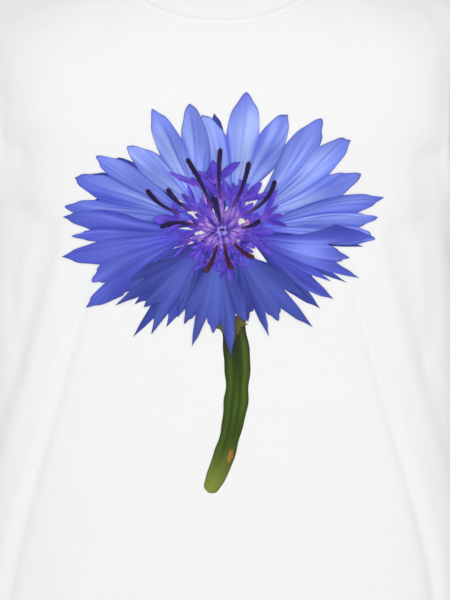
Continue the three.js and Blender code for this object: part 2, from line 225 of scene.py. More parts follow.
@dataclass(frozen=True)
class BodyForm:
    """The smooth form of the two body panels, on which their folds are laid.

    A panel's point is named by across, from -1 to 1 between the armholes or side seams, and by down,
    from 0 on the shoulder line through upper_share at the underarm's level to 1 at the hem.
    """

    neck_half_width: float = 0.097
    front_neck_drop: float = 0.057
    back_neck_drop: float = 0.004
    nape_rise: float = 0.013
    shoulder_tip: float = 0.227
    shoulder_drop: float = 0.043
    shoulder_crown: float = 0.004
    underarm_z: float = -0.238
    hem_z: float = -0.700
    chest_half_width: float = 0.2245
    hem_half_width: float = 0.231
    front_depth: float = 0.110
    back_depth: float = 0.100
    waist_ease: float = 0.014
    hem_flare: float = 0.009
    squareness: float = 0.03
    chest_fullness: float = 0.014
    yoke_fullness: float = 0.025
    arm_hollow: float = 0.018
    centre_roll: tuple[float, float, float] = (0.0, 0.99, -0.12)
    arm_roll: tuple[float, float, float] = (-0.12, 0.9, -0.4)
    arm_roll_pull: float = 1.25
    upper_share: float = 0.42

    @property
    def neck_share(self) -> float:
        """Returns the across of the high shoulder points."""
        return 2 / math.pi * math.asin(self.neck_half_width / self.shoulder_tip)

    def half_width(self, z: Array) -> Array:
        """Returns the body's half width at a level below the underarm."""
        fallen = (self.underarm_z - z) / (self.underarm_z - self.hem_z)
        return lerp(self.chest_half_width, self.hem_half_width, fallen)

    def oval(self, face: Face, across: Array, z: Array) -> Array:
        """Returns points of the body's oval section at a level."""
        fallen = (self.underarm_z - z) / (self.underarm_z - self.hem_z)
        chest = self.front_depth if face is Face.FRONT else self.back_depth
        depth = chest - self.waist_ease * fallen + self.hem_flare * fallen * fallen
        turn = across * math.pi / 2
        wide = (np.sin(turn) + self.squareness * np.sin(3 * turn)) / (1 - self.squareness)
        deep = (np.cos(turn) - self.squareness * np.cos(3 * turn)) / (1 - self.squareness)
        return stack(self.half_width(z) * wide, face.value * depth * deep, z)

    def shoulder_line(self, across: Array) -> Array:
        """Returns points of the line over both shoulders and the nape."""
        x = self.shoulder_tip * np.sin(across * math.pi / 2)
        nape = self.nape_rise * (1 - (x / self.neck_half_width) ** 2)
        along = (np.abs(x) - self.neck_half_width) / (self.shoulder_tip - self.neck_half_width)
        slope = self.shoulder_crown * np.sin(math.pi * along) - self.shoulder_drop * along
        meeting = smoothstep(np.abs(x), self.neck_half_width - 0.035, self.neck_half_width + 0.035)
        return stack(x, np.zeros_like(x), lerp(nape, slope, meeting))

    def point(self, face: Face, across: Array | float, down: Array | float) -> Array:
        """Returns points of a panel."""
        across, down = (a.astype(float) for a in np.broadcast_arrays(across, down))
        share = (down - self.upper_share) / (1 - self.upper_share)
        lower = self.oval(face, across, lerp(self.underarm_z, self.hem_z, share))
        top = self.shoulder_line(across)
        chest = self.oval(face, across, np.full_like(across, self.underarm_z))
        reach = length_of(top - chest)[..., None]
        side = np.sign(across)
        armness = (np.abs(across) ** 6)[..., None]

        def roll(ways: tuple[float, float, float]) -> Array:
            """Returns the way that the cloth leaves the shoulder line."""
            forward = np.full_like(side, face.value * ways[1])
            return stack(ways[0] * side, forward, np.full_like(side, ways[2]))

        arm = roll(self.arm_roll)
        arm_return = arm * np.array([-1.0, -1.0, 1.0])
        top_pull = lerp(roll(self.centre_roll), arm, armness) * reach * lerp(1.0, self.arm_roll_pull, armness)
        fall = unit(self.oval(face, across, np.full_like(across, self.underarm_z - 0.01)) - chest)
        chest_pull = lerp(fall, arm_return, armness) * reach
        u = np.clip(down / self.upper_share, -0.05, 1.0)
        swell = 16 * u * u * (1 - u) * (1 - u) * (1 - np.abs(across) ** 10)
        fullness = lerp(self.chest_fullness, self.yoke_fullness, smoothstep(np.abs(across), 0, 0.5))
        upper = hermite(top, top_pull, chest, chest_pull, u) + stack(
            -side * self.arm_hollow * swell * np.abs(across) ** 1.5, face.value * swell * fullness, 0.0 * u
        )
        return np.where((down >= self.upper_share)[..., None], lower, upper)

    def top(self, face: Face, across: Array) -> Array:
        """Returns the down of a panel's top edge: the neck seam, and beyond it the shoulder seam."""
        drop = self.front_neck_drop if face is Face.FRONT else self.back_neck_drop
        above, below = np.zeros_like(across), np.full_like(across, self.upper_share)
        for _ in range(36):
            middle = (above + below) / 2
            p = self.point(face, across, middle)
            seam_z = -drop * np.sqrt(np.maximum(0.0, 1 - (p[..., 0] / self.neck_half_width) ** 2))
            higher = p[..., 2] > seam_z
            above, below = np.where(higher, middle, above), np.where(higher, below, middle)
        return np.where(np.abs(across) >= self.neck_share - 1e-9, 0.0, above)

    def down_at(self, z: Array | float) -> Array | float:
        """Returns the down of a level below the underarm."""
        return lerp(self.upper_share, 1.0, (self.underarm_z - z) / (self.underarm_z - self.hem_z))

    def neck_point(self, turn: Array) -> Array:
        """Returns points of the neck seam, at turn 0 in front and pi at the nape."""
        across = self.neck_share * np.sin(turn)
        front = self.point(Face.FRONT, across, self.top(Face.FRONT, across))
        back = self.point(Face.BACK, across, self.top(Face.BACK, across))
        return np.where((np.cos(turn) > 0)[..., None], front, back)

    def armhole(self, side: float, turn: Array) -> Array:
        """Returns points of an armhole, at turn 0 on the shoulder tip and pi under the arm, front first."""
        turn = np.mod(turn, 2 * math.pi)
        share = np.where(turn <= math.pi, turn / math.pi, 2 - turn / math.pi)
        front = self.point(Face.FRONT, side + 0.0 * turn, share * self.upper_share)
        back = self.point(Face.BACK, side + 0.0 * turn, share * self.upper_share)
        return np.where((turn <= math.pi)[..., None], front, back)


@dataclass(frozen=True)
class Drape:
    """How the worn body cloth lies off its smooth form: folds, waves, creases and seam grooves."""

    form: BodyForm = field(default_factory=BodyForm)
    # The front hangs from the chest and falls over the drawn-in sides, in a fold on each side.
    fold_start: tuple[float, float] = (0.1465, -0.262)
    fold_slope: float = 0.290
    fold_limit: float = 0.2225
    fold_rounding: float = 0.006
    fold_height: float = 0.0030
    fold_width: float = 0.038
    fold_hollow: float = 0.0008
    fold_flank: float = 0.0150
    fold_lead: float = 0.002
    fold_top: float = 0.004
    seam_share: float = 0.35
    # Inside that fold runs a thin crease.
    crease_start: tuple[float, float] = (0.1185, -0.285)
    crease_slope: float = 0.287
    crease_depth: float = 0.0046
    crease_width: float = 0.0072
    crease_rounding: float = 0.008
    crease_inset: float = 0.013
    # The hem swings in waves, least in the middle of the front.
    wave_start: float = -0.42
    wave_height: float = 0.0050
    hem_dip: float = 0.0022
    # Fine unevenness of washed jersey.
    unevenness: tuple[Ripple, ...] = (
        Ripple(0.090, 9, 11, 2.2),
        Ripple(0.034, 12, 12, 1.6),
        Ripple(0.013, 14, 13, 1.3),
    )
    uneven_heights: tuple[float, ...] = (0.0012, 0.00036, 0.00009)
    # Seams, hem and cover stitching.
    seam_dip: float = 0.0006
    seam_dip_width: float = 0.0017
    needle_rows: tuple[float, float] = (0.0030, 0.0094)
    needle_dip: float = 0.00050
    needle_width: float = 0.0012
    puff: float = 0.00075
    hem_depth: float = 0.020
    hem_needles: tuple[float, float] = (0.0170, 0.0230)
    front_creases: tuple[Crease, ...] = (
        Crease((0.150, -0.266), (0.240, -0.250), 0.0062, 0.0150, 0.002, 0.0, 6.0),
        Crease((0.196, -0.160), (0.206, -0.285), 0.0066, 0.0200, 0.003, 0.0),
        Crease((0.186, -0.196), (0.232, -0.182), 0.0018, 0.0060, 0.002, 0.1, 2.0),
        Crease((0.205, -0.262), (0.200, -0.400), 0.0022, 0.0085, 0.004),
        Crease((0.186, -0.290), (0.206, -0.430), 0.0014, 0.0090, -0.003),
        Crease((0.060, -0.030), (0.150, -0.105), 0.0008, 0.0180, 0.010, 0.2),
    )
    back_creases: tuple[Crease, ...] = (
        Crease((0.205, -0.170), (0.120, -0.330), 0.0042, 0.0120, 0.014),
        Crease((0.214, -0.232), (0.130, -0.470), 0.0052, 0.0130, 0.010),
        Crease((0.205, -0.250), (0.196, -0.520), 0.0040, 0.0110, -0.006),
        Crease((0.100, -0.240), (0.070, -0.660), 0.0034, 0.0160, 0.006),
        Crease((0.020, -0.330), (0.034, -0.700), 0.0030, 0.0150, -0.005),
        Crease((0.150, -0.430), (0.160, -0.720), 0.0040, 0.0130, 0.004),
        Crease((0.030, -0.070), (0.150, -0.120), 0.0016, 0.0140, 0.012, 0.2),
    )

    def fold_line(self, z: Array) -> Array:
        """Returns the X of the side fold's crest at a level, on the wearer's left."""
        straight = self.fold_start[0] + self.fold_slope * np.maximum(self.fold_start[1] - z, 0.0)
        return soft_least(straight, self.fold_limit, self.fold_rounding)

    def crease_line(self, z: Array) -> Array:
        """Returns the X of the thin crease inside the side fold."""
        straight = self.crease_start[0] + self.crease_slope * (self.crease_start[1] - z)
        return soft_least(straight, self.fold_limit - self.crease_inset, self.crease_rounding)

    def fold_share(self, z: Array) -> Array:
        """Returns the across of the side fold's crest at a level below the underarm."""
        wide = self.fold_line(z) / self.form.half_width(z)
        return 2 / math.pi * np.arcsin(np.clip(wide * (1 - 0.5 * self.form.squareness), 0, 0.985))

    @staticmethod
    def fold_growth(z: Array) -> Array:
        """Returns how far the side folds have grown at a level, from 0 to 1."""
        return smoothstep(-z, 0.238, 0.345) * (1 - 0.75 * smoothstep(-z, 0.52, 0.70))

    def crest(self, away: Array) -> Array:
        """Returns the side fold's section, from 0 to 1, at distances outwards from its line."""
        rise = smoothstep(away, -self.fold_width, -self.fold_lead)
        return rise * (1 - smoothstep(away, -self.fold_top, self.fold_flank))

    def side_inset(self, z: Array) -> Array:
        """Returns the height of both panels at the side seam, which the folds draw in."""
        room = self.form.half_width(z) - self.fold_line(z)
        drawn = self.seam_share * smoothstep(room, -self.fold_lead, self.fold_flank)
        return (self.fold_height * self.crest(room) - self.fold_hollow * drawn) * self.fold_growth(z)

    def side_fold(self, x: Array, z: Array) -> Array:
        """Returns the height of the front's side folds and their thin creases."""
        away = np.abs(x) - self.fold_line(z)
        grown = self.fold_growth(z)
        near_side = smoothstep(np.abs(x), 0.80 * self.form.half_width(z), self.form.half_width(z))
        hollow = smoothstep(away, -self.fold_lead, self.fold_flank) * lerp(1.0, self.seam_share, near_side)
        height = self.fold_height * self.crest(away) * grown - self.fold_hollow * hollow * grown
        beside = np.abs(x) - self.crease_line(z)
        creased = smoothstep(-z, 0.285, 0.345) * (1 - smoothstep(-z, 0.60, 0.66))
        groove = bell(beside, self.crease_width) - 0.30 * bell(beside - 0.007, 0.007)
        return height - self.crease_depth * groove * creased

    def waves(self, turn: Array, z: Array) -> Array:
        """Returns the height of the hem's waves, at an angle round the body from its front."""
        grown = smoothstep(-z, -self.wave_start, 0.71)
        calm = 1 - 0.55 * bell(turn, 0.75)
        swing = 0.55 * np.cos(6 * turn + 0.6) + 0.35 * np.cos(9 * turn - 1.1) + 0.22 * np.cos(14 * turn + 2.0)
        return self.wave_height * swing * grown * calm

    def neck_distance(self, points: Array) -> tuple[Array, Array]:
        """Returns each point's distance from the neck seam, and how far along the seam it lies."""
        turns = np.linspace(-math.pi, math.pi, 900, endpoint=False)
        seam = self.form.neck_point(turns)
        run = run_along(seam)
        flat = points.reshape(-1, 3)
        distance, along = np.full(len(flat), 0.2), np.zeros(len(flat))
        near = np.flatnonzero((flat[:, 2] > -0.125) & (np.abs(flat[:, 0]) < 0.150))
        for part in np.array_split(near, max(1, len(near) // 4000)):
            gaps = length_of(flat[part, None, :] - seam[None, :, :])
            best = np.argmin(gaps, axis=1)
            distance[part] = gaps[np.arange(len(part)), best]
            along[part] = run[best]
        return distance.reshape(points.shape[:-1]), along.reshape(points.shape[:-1])

    def cover_stitched(self, distance: Array, rows: tuple[float, float], along: Array) -> Array:
        """Returns the height of cloth under two needle rows: a groove at each, and a puff between."""
        middle, spread = (rows[0] + rows[1]) / 2, rows[1] - rows[0]
        height = self.puff * bell(distance - middle, 0.42 * spread)
        pucker = 1 + 0.35 * np.cos(2 * math.pi * along / 0.0063) * np.cos(2 * math.pi * along / 0.0290 + 1)
        for row in rows:
            height = height - self.needle_dip * bell(distance - row, self.needle_width) * pucker
        height = height - 0.00022 * bell(distance - rows[1] - 0.0035, 0.004) * pucker
        return height

    def relief(self, face: Face, across: Array, down: Array, points: Array) -> Array:
        """Returns how far the cloth lies outside the smooth form at points of a panel."""
        form = self.form
        x, z = points[..., 0], points[..., 2]
        level = np.clip((down - form.upper_share) / 0.05, 0, 1)
        edge = length_of(points - form.point(face, np.where(across < 0, -1.0, 1.0), np.minimum(down, 1.0)))
        at_arm = 1 - smoothstep(level, 0, 1)
        fade = 1 - at_arm * (1 - smoothstep(edge, 0.002, 0.028))
        fade = fade * smoothstep(down, 0.002, 0.075)
        turn = across * math.pi / 2
        if face is Face.BACK:
            turn = math.pi - turn
        height = self.waves(turn, z)
        side_join = 1 - smoothstep(np.abs(across), 0.90, 1.0)
        if face is Face.FRONT:
            height = height + self.side_fold(x, z)
            quiet = 1 - 0.72 * bell(x, 0.150) * bell(z + 0.30, 0.30)
        else:
            height = height + self.side_inset(z) * smoothstep(np.abs(across), 0.62, 1.0)
            quiet = 1.0
        creases = self.front_creases if face is Face.FRONT else self.back_creases
        on_right = x < 0
        flat_x, flat_z = np.abs(x) + 0.004 * on_right, z - 0.006 * on_right
        pressed = sum(crease.height(flat_x, flat_z) for crease in creases)
        height = height + pressed * side_join
        for ripple, size in zip(self.unevenness, self.uneven_heights):
            height = height + size * quiet * ripple.at(points)
        neck, along = self.neck_distance(points)
        height = height * fade * smoothstep(neck, 0.004, 0.045)
        height = height + self.cover_stitched(neck, self.needle_rows, along)
        shoulder = length_of(points - form.point(face, across, 0.0 * down))
        seams = bell(neck, self.seam_dip_width)
        on_shoulder = (np.abs(across) >= form.neck_share) & (down < 0.08)
        seams = np.maximum(seams, np.where(on_shoulder, bell(shoulder, self.seam_dip_width), 0.0))
        seams = np.maximum(seams, bell(edge, self.seam_dip_width))
        height = height - self.seam_dip * seams
        hem_up = z - form.hem_z
        height = height + self.cover_stitched(hem_up, self.hem_needles, x) * (z < -0.6)
        return height - 0.0008 * np.square(np.clip(1 - hem_up / 0.0014, 0, 1))

    def surface(
        self, face: Face, across: Array | float, down: Array | float, out: Array | float = 0.0
    ) -> Array:
        """Returns points of the cloth's outer surface, or out of it by a distance."""
        across, down = (a.astype(float) for a in np.broadcast_arrays(across, down))
        points = self.form.point(face, across, down)
        normal = normals_of(partial(self.form.point, face), across, down, 1e-3) * face.value
        normal = np.where(down[..., None] < 0.0015, self._over_shoulder(normal), normal)
        height = self.relief(face, across, down, points) + out
        moved = points + normal * height[..., None]
        turn = across * math.pi / 2 if face is Face.FRONT else math.pi - across * math.pi / 2
        moved[..., 2] += self.hem_dip * np.cos(2 * turn + 0.3) * smoothstep(-points[..., 2], 0.5, 0.7)
        return moved

    @staticmethod
    def _over_shoulder(normal: Array) -> Array:
        """Returns normals of the shoulder line, which both panels share there."""
        level = normal.copy()
        level[..., 1] = 0.0
        return unit(level)

    def normal(self, face: Face, across: Array, down: Array) -> Array:
        """Returns the outward unit normals of the draped cloth."""
        return normals_of(partial(self.surface, face), across, down, 8e-4) * face.value

    def slopes(self, face: Face, across: Array, down: Array) -> tuple[Array, Array, Array]:
        """Returns points of the smooth panel, and how fast they move with across and with down."""
        h = 1e-4
        at = self.form.point(face, across, down)
        with_across = (self.form.point(face, across + h, down) - at) / h
        with_down = (self.form.point(face, across, down + h) - at) / h
        return at, with_across, with_down

    def at_front(self, x: Array, z: Array) -> tuple[Array, Array]:
        """Returns the across and down of the front's points that lie at x and z seen from the front."""
        across = 2 / math.pi * np.arcsin(np.clip(x / self.form.chest_half_width, -0.97, 0.97))
        down = self.form.down_at(z)
        for _ in range(14):
            p, pa, pd = self.slopes(Face.FRONT, across, down)
            det = pa[..., 0] * pd[..., 2] - pd[..., 0] * pa[..., 2]
            miss_x, miss_z = x - p[..., 0], z - p[..., 2]
            across = across + (miss_x * pd[..., 2] - miss_z * pd[..., 0]) / det
            down = down + (miss_z * pa[..., 0] - miss_x * pa[..., 2]) / det
        return across, down

    def nearest(self, face: Face, targets: Array, across: Array, down: Array) -> tuple[Array, Array]:
        """Returns the across and down of the smooth panel's points that are nearest to targets.

        Args:
            face: the panel.
            targets: the points to come near to.
            across: a first guess of their across.
            down: a first guess of their down.
        """
        for _ in range(12):
            p, pa, pd = self.slopes(face, across, down)
            miss = targets - p
            aa, dd, ad = (np.sum(a * b, -1) for a, b in ((pa, pa), (pd, pd), (pa, pd)))
            ma, md = np.sum(miss * pa, -1), np.sum(miss * pd, -1)
            det = aa * dd - ad * ad + 1e-12
            across = across + np.clip((ma * dd - md * ad) / det, -0.05, 0.05)
            down = np.maximum(down + np.clip((md * aa - ma * ad) / det, -0.05, 0.05), 0.0)
        return across, down


@dataclass(frozen=True)
class SleeveDrape:
    """The form and folds of a sleeve.

    A point is named by turn, from 0 on top through pi under the arm, front first, and by along, from 0
    at the armhole to 1 at the cuff.
    """

    side: float
    body: Drape = field(default_factory=Drape)
    cuff_x: float = 0.292
    cuff_z: float = -0.268
    cuff_tilt: float = math.radians(36)
    cuff_half_width: float = 0.065
    cuff_half_depth: float = 0.054
    arm_angle: float = math.radians(30)
    leave_out: float = 0.84
    leave_forward: float = 0.2
    leave_down: float = 0.54
    leave_down_under: float = 0.35
    flutter: float = 0.0022
    unevenness: tuple[Ripple, ...] = (Ripple(0.055, 9, 21), Ripple(0.021, 12, 22))
    uneven_heights: tuple[float, ...] = (0.0011, 0.00030)
    # In the flat view of the creases, across is the arc from the top and up is minus the way down.
    creases: tuple[Crease, ...] = (
        Crease((0.030, -0.020), (0.120, -0.090), 0.0040, 0.0095, 0.008),
        Crease((0.070, -0.012), (0.150, -0.062), 0.0046, 0.0085, 0.006),
        Crease((0.110, -0.008), (0.172, -0.040), 0.0034, 0.0065, 0.003),
        Crease((0.020, -0.070), (0.100, -0.135), 0.0030, 0.0110, 0.006),
        Crease((0.130, -0.070), (0.176, -0.120), 0.0024, 0.0080, -0.004),
    )

    def cuff(self, turn: Array) -> Array:
        """Returns points of the cuff's edge."""
        wide = self.cuff_half_width * np.cos(turn)
        return stack(
            self.side * (self.cuff_x + wide * math.cos(self.cuff_tilt)),
            -self.cuff_half_depth * np.sin(turn),
            self.cuff_z + wide * math.sin(self.cuff_tilt),
        )

    def reach(self, turn: Array) -> Array:
        """Returns the straight distance from armhole to cuff."""
        return length_of(self.body.form.armhole(self.side, turn) - self.cuff(turn))

    def point(self, turn: Array | float, along: Array | float) -> Array:
        """Returns points of the sleeve's smooth form."""
        turn, along = (a.astype(float) for a in np.broadcast_arrays(turn, along))
        start, end = self.body.form.armhole(self.side, turn), self.cuff(turn)
        reach = length_of(start - end)[..., None]
        underness = (1 - np.cos(turn)) / 2
        fall = lerp(self.leave_down, self.leave_down_under, underness)
        leave = unit(stack(self.leave_out * self.side + 0 * turn, self.leave_forward * np.sin(turn), -fall))
        hang = np.array([self.side * math.sin(self.arm_angle), 0.0, -math.cos(self.arm_angle)])
        return hermite(start, leave * reach, end, hang * reach, along)

    def relief(self, turn: Array, along: Array, points: Array) -> Array:
        """Returns how far the sleeve's cloth lies outside its smooth form."""
        reach = self.reach(turn)
        wrapped = np.mod(turn + math.pi, 2 * math.pi) - math.pi
        arc, fallen = np.abs(wrapped) * 0.058, -along * reach
        shift = 0.006 * (wrapped < 0)
        height = sum(crease.height(arc + shift, fallen + 0.5 * shift) for crease in self.creases)
        under = bell(np.abs(wrapped) - math.pi, 0.35)
        height = height * (1 - under)
        swing = 0.6 * np.cos(3 * turn + 0.8) + 0.4 * np.cos(5 * turn - 0.9 * self.side)
        height = height + self.flutter * swing * smoothstep(along, 0.25, 1.0)
        for ripple, size in zip(self.unevenness, self.uneven_heights):
            height = height + size * ripple.at(points)
        height = height * smoothstep(along * reach, 0.003, 0.035)
        height = height - self.body.seam_dip * bell(along * reach, self.body.seam_dip_width)
        left = (1 - along) * reach
        height = height + self.body.cover_stitched(left, self.body.hem_needles, arc)
        return height - 0.0008 * np.square(np.clip(1 - left / 0.0014, 0, 1))

    def surface(self, turn: Array | float, along: Array | float, out: Array | float = 0.0) -> Array:
        """Returns points of the sleeve's outer surface, or out of it by a distance."""
        turn, along = (a.astype(float) for a in np.broadcast_arrays(turn, along))
        points = self.point(turn, along)
        normal = normals_of(self.point, turn, along, 1e-3) * -self.side
        return points + normal * (self.relief(turn, along, points) + out)[..., None]

    def normal(self, turn: Array, along: Array) -> Array:
        """Returns the outward unit normals of the draped sleeve."""
        return normals_of(self.surface, turn, along, 1.5e-3) * -self.side


# ---- Shader helpers and finishes ----


class Wire:
    """A number socket of a material, on which arithmetic adds Math nodes."""

    def __init__(self, graph: "Graph", socket: bpy.types.NodeSocket) -> None:
        """Keeps the graph and the output socket."""
        self.graph = graph
        self.socket = socket

    def _join(self, operation: str, first: "Wire | float", second: "Wire | float") -> "Wire":
        """Returns the result of a Math node on two values."""
        return self.graph.node("ShaderNodeMath", {"operation": operation}, {0: first, 1: second})

    def __add__(self, other: "Wire | float") -> "Wire":
        """Returns self + other."""
        return self._join("ADD", self, other)

    def __radd__(self, other: float) -> "Wire":
        """Returns other + self."""
        return self._join("ADD", other, self)

    def __sub__(self, other: "Wire | float") -> "Wire":
        """Returns self - other."""
        return self._join("SUBTRACT", self, other)

    def __rsub__(self, other: float) -> "Wire":
        """Returns other - self."""
        return self._join("SUBTRACT", other, self)

    def __mul__(self, other: "Wire | float") -> "Wire":
        """Returns self * other."""
        return self._join("MULTIPLY", self, other)

    def __rmul__(self, other: float) -> "Wire":
        """Returns other * self."""
        return self._join("MULTIPLY", other, self)

    def __truediv__(self, other: "Wire | float") -> "Wire":
        """Returns self / other."""
        return self._join("DIVIDE", self, other)

    def apply(self, operation: str, other: float = 0.0) -> "Wire":
        """Returns the result of any other Math operation on self and a number."""
        return self._join(operation, self, other)


class Graph:
    """A material's node tree, with one method that adds any node."""

    def __init__(self, name: str) -> None:
        """Makes an empty material."""
        self.material = bpy.data.materials.new(name)
        self.material.use_nodes = True
        self.tree = self.material.node_tree
        self.tree.nodes.clear()

    def node(self, kind: str, settings: dict, values: dict, output: int | str = 0) -> Wire:
        """Adds a node.

        Args:
            kind: its bl_idname.
            settings: its properties, set first; "stops" gives a colour ramp's positions and colours.
            values: a number, tuple or Wire for each named or numbered input.
            output: the output that is returned.

        Returns:
            The output as a Wire.
        """
        made = self.tree.nodes.new(kind)
        for name, value in settings.items():
            if name == "stops":
                ramp = made.color_ramp.elements
                while len(ramp) < len(value):
                    ramp.new(1.0)
                for stop, (position, shade) in zip(ramp, value):
                    stop.position = position
                    stop.color = (*shade, 1.0)
            else:
                setattr(made, name, value)
        for name, value in values.items():
            if isinstance(value, Wire):
                self.tree.links.new(value.socket, made.inputs[name])
            else:
                made.inputs[name].default_value = value
        return Wire(self, made.outputs[output])

    def coordinates(self, source: "Space") -> Wire:
        """Returns the coordinates that a pattern is laid out on."""
        if source is Space.OBJECT:
            return self.node("ShaderNodeTexCoord", {}, {}, "Object")
        return self.node("ShaderNodeUVMap", {"uv_map": source.value}, {}, "UV")

    def scaled(self, vector: Wire, scale: tuple[float, float, float]) -> Wire:
        """Returns coordinates stretched along each axis."""
        return self.node("ShaderNodeVectorMath", {"operation": "MULTIPLY"}, {0: vector, 1: scale})

    def noise(self, vector: Wire, scale: float, detail: float = 3.0, roughness: float = 0.55) -> Wire:
        """Returns a noise pattern, from 0 to 1."""
        sizes = {"Vector": vector, "Scale": scale, "Detail": detail, "Roughness": roughness}
        return self.node("ShaderNodeTexNoise", {}, sizes, "Fac")

    def bands(self, vector: Wire, scale: float, direction: str, distortion: float = 0.0) -> Wire:
        """Returns sine bands, from 0 to 1."""
        return self.node(
            "ShaderNodeTexWave",
            {"wave_type": "BANDS", "bands_direction": direction, "wave_profile": "SIN"},
            {"Vector": vector, "Scale": scale, "Distortion": distortion, "Detail": 1.0, "Detail Scale": 1.5},
            "Fac",
        )

    def mix(self, share: Wire | float, first: Wire | Colour, second: Wire | Colour) -> Wire:
        """Returns a colour between two colours."""
        colours = {0: share, 6: self.colour(first), 7: self.colour(second)}
        return self.node("ShaderNodeMix", {"data_type": "RGBA"}, colours, 2)

    @staticmethod
    def colour(value: Wire | Colour) -> Wire | tuple[float, float, float, float]:
        """Returns a colour as a socket takes it."""
        return value if isinstance(value, Wire) else (*value, 1.0)

    def bump(self, height: Wire, strength: float, distance: float, under: Wire | None = None) -> Wire:
        """Returns normals raised by a height pattern, on top of another bump if one is given."""
        values = {"Height": height, "Strength": strength, "Distance": distance}
        if under is not None:
            values["Normal"] = under
        return self.node("ShaderNodeBump", {}, values, "Normal")

    def finish(self, **values: "Wire | float | tuple") -> bpy.types.Material:
        """Adds the shader with its socket values, and returns the material."""
        sockets = {
            name.replace("_", " ").title().replace("Ior", "IOR"): value for name, value in values.items()
        }
        shader = self.node("ShaderNodeBsdfPrincipled", {}, sockets, "BSDF")
        output = self.tree.nodes.new("ShaderNodeOutputMaterial")
        self.tree.links.new(shader.socket, output.inputs["Surface"])
        return self.material


class Space(Enum):
    """Where a pattern's coordinates come from."""

    OBJECT = "object"
    CLOTH = "cloth"


@dataclass(frozen=True)
class JerseyFinish:
    """Fine white single jersey: wales and courses, slubs, and a soft washed surface."""

    name: str = "white_jersey"
    white: Colour = (0.905, 0.905, 0.907)
    shade: Colour = (0.862, 0.864, 0.872)
    wale: float = 0.0011
    course: float = 0.0009
    roughness: float = 0.88

    def material(self) -> bpy.types.Material:
        """Returns the material."""
        g = Graph(self.name)
        cloth = g.coordinates(Space.CLOTH)
        body = g.coordinates(Space.OBJECT)
        wales = g.bands(cloth, 1 / (self.wale * 20), "X", 0.35)
        courses = g.bands(cloth, 1 / (self.course * 20), "Y", 0.35)
        slub = g.noise(g.scaled(cloth, (14.0, 420.0, 1.0)), 1.0, 4.0, 0.6)
        mottle = g.noise(body, 26.0, 4.0, 0.6)
        fuzz = g.noise(cloth, 900.0, 2.0, 0.6)
        crumple = g.noise(body, 70.0, 4.0, 0.55)
        uneven = (slub * 0.5 + mottle * 0.35 + fuzz * 0.25 - 0.55) * 0.9
        share = g.node("ShaderNodeClamp", {}, {"Value": uneven + 0.12})
        knit = wales * 0.55 + courses * 0.35 + fuzz * 0.35 + slub * 0.5
        raised = g.bump(crumple, 0.22, 0.0012)
        return g.finish(
            base_color=g.mix(share, self.white, self.shade),
            roughness=self.roughness + (fuzz - 0.5) * 0.12,
            specular_ior_level=0.25,
            sheen_weight=0.18,
            sheen_roughness=0.45,
            normal=g.bump(knit, 0.30, 0.00022, raised),
        )


@dataclass(frozen=True)
class RibFinish:
    """The neckband's rib knit, whose ribs are modelled and whose stitches are in the finish."""

    name: str = "white_rib"
    white: Colour = (0.895, 0.896, 0.900)
    shade: Colour = (0.835, 0.838, 0.850)
    stitch: float = 0.0011

    def material(self) -> bpy.types.Material:
        """Returns the material."""
        g = Graph(self.name)
        cloth = g.coordinates(Space.CLOTH)
        rows = g.bands(cloth, 1 / (self.stitch * 20), "Y", 0.6)
        fuzz = g.noise(cloth, 800.0, 3.0, 0.6)
        mottle = g.noise(g.coordinates(Space.OBJECT), 40.0, 3.0)
        share = g.node("ShaderNodeClamp", {}, {"Value": (mottle * 0.6 + fuzz * 0.4 - 0.42) * 0.9})
        return g.finish(
            base_color=g.mix(share, self.white, self.shade),
            roughness=0.86 + (fuzz - 0.5) * 0.12,
            specular_ior_level=0.25,
            sheen_weight=0.2,
            sheen_roughness=0.45,
            normal=g.bump(rows * 0.6 + fuzz * 0.6, 0.35, 0.00025),
        )


@dataclass(frozen=True)
class ThreadFinish:
    """Spun polyester sewing thread, with the twist of its plies."""

    name: str = "white_thread"
    white: Colour = (0.915, 0.915, 0.920)
    shade: Colour = (0.80, 0.80, 0.82)

    def material(self) -> bpy.types.Material:
        """Returns the material."""
        g = Graph(self.name)
        body = g.coordinates(Space.OBJECT)
        twist = g.bands(body, 110.0, "DIAGONAL", 0.8)
        fibre = g.noise(body, 1500.0, 2.0)
        return g.finish(
            base_color=g.mix(twist * 0.35, self.white, self.shade),
            roughness=0.55 + (fibre - 0.5) * 0.15,
            specular_ior_level=0.35,
            sheen_weight=0.15,
            sheen_roughness=0.4,
            normal=g.bump(twist + fibre * 0.5, 0.35, 0.00015),
        )


@dataclass(frozen=True)
class TapeFinish:
    """Herringbone cotton tape."""

    name: str = "white_herringbone"
    white: Colour = (0.885, 0.882, 0.872)
    shade: Colour = (0.74, 0.74, 0.73)
    stripe: float = 0.0028
    twill: float = 0.0009

    def material(self) -> bpy.types.Material:
        """Returns the material."""
        g = Graph(self.name)
        cloth = g.coordinates(Space.CLOTH)
        along = g.node("ShaderNodeSeparateXYZ", {}, {"Vector": cloth}, "X")
        over = g.node("ShaderNodeSeparateXYZ", {}, {"Vector": cloth}, "Y")
        zigzag = (over / self.stripe).apply("PINGPONG", 1.0) * self.stripe
        lines = ((along + zigzag) * (2 * math.pi / self.twill)).apply("SINE") * 0.5 + 0.5
        fuzz = g.noise(cloth, 700.0, 3.0)
        return g.finish(
            base_color=g.mix(lines * 0.45 + fuzz * 0.2, self.white, self.shade),
            roughness=0.82 + (fuzz - 0.5) * 0.1,
            specular_ior_level=0.25,
            sheen_weight=0.15,
            normal=g.bump(lines + fuzz * 0.5, 0.6, 0.0003),
        )


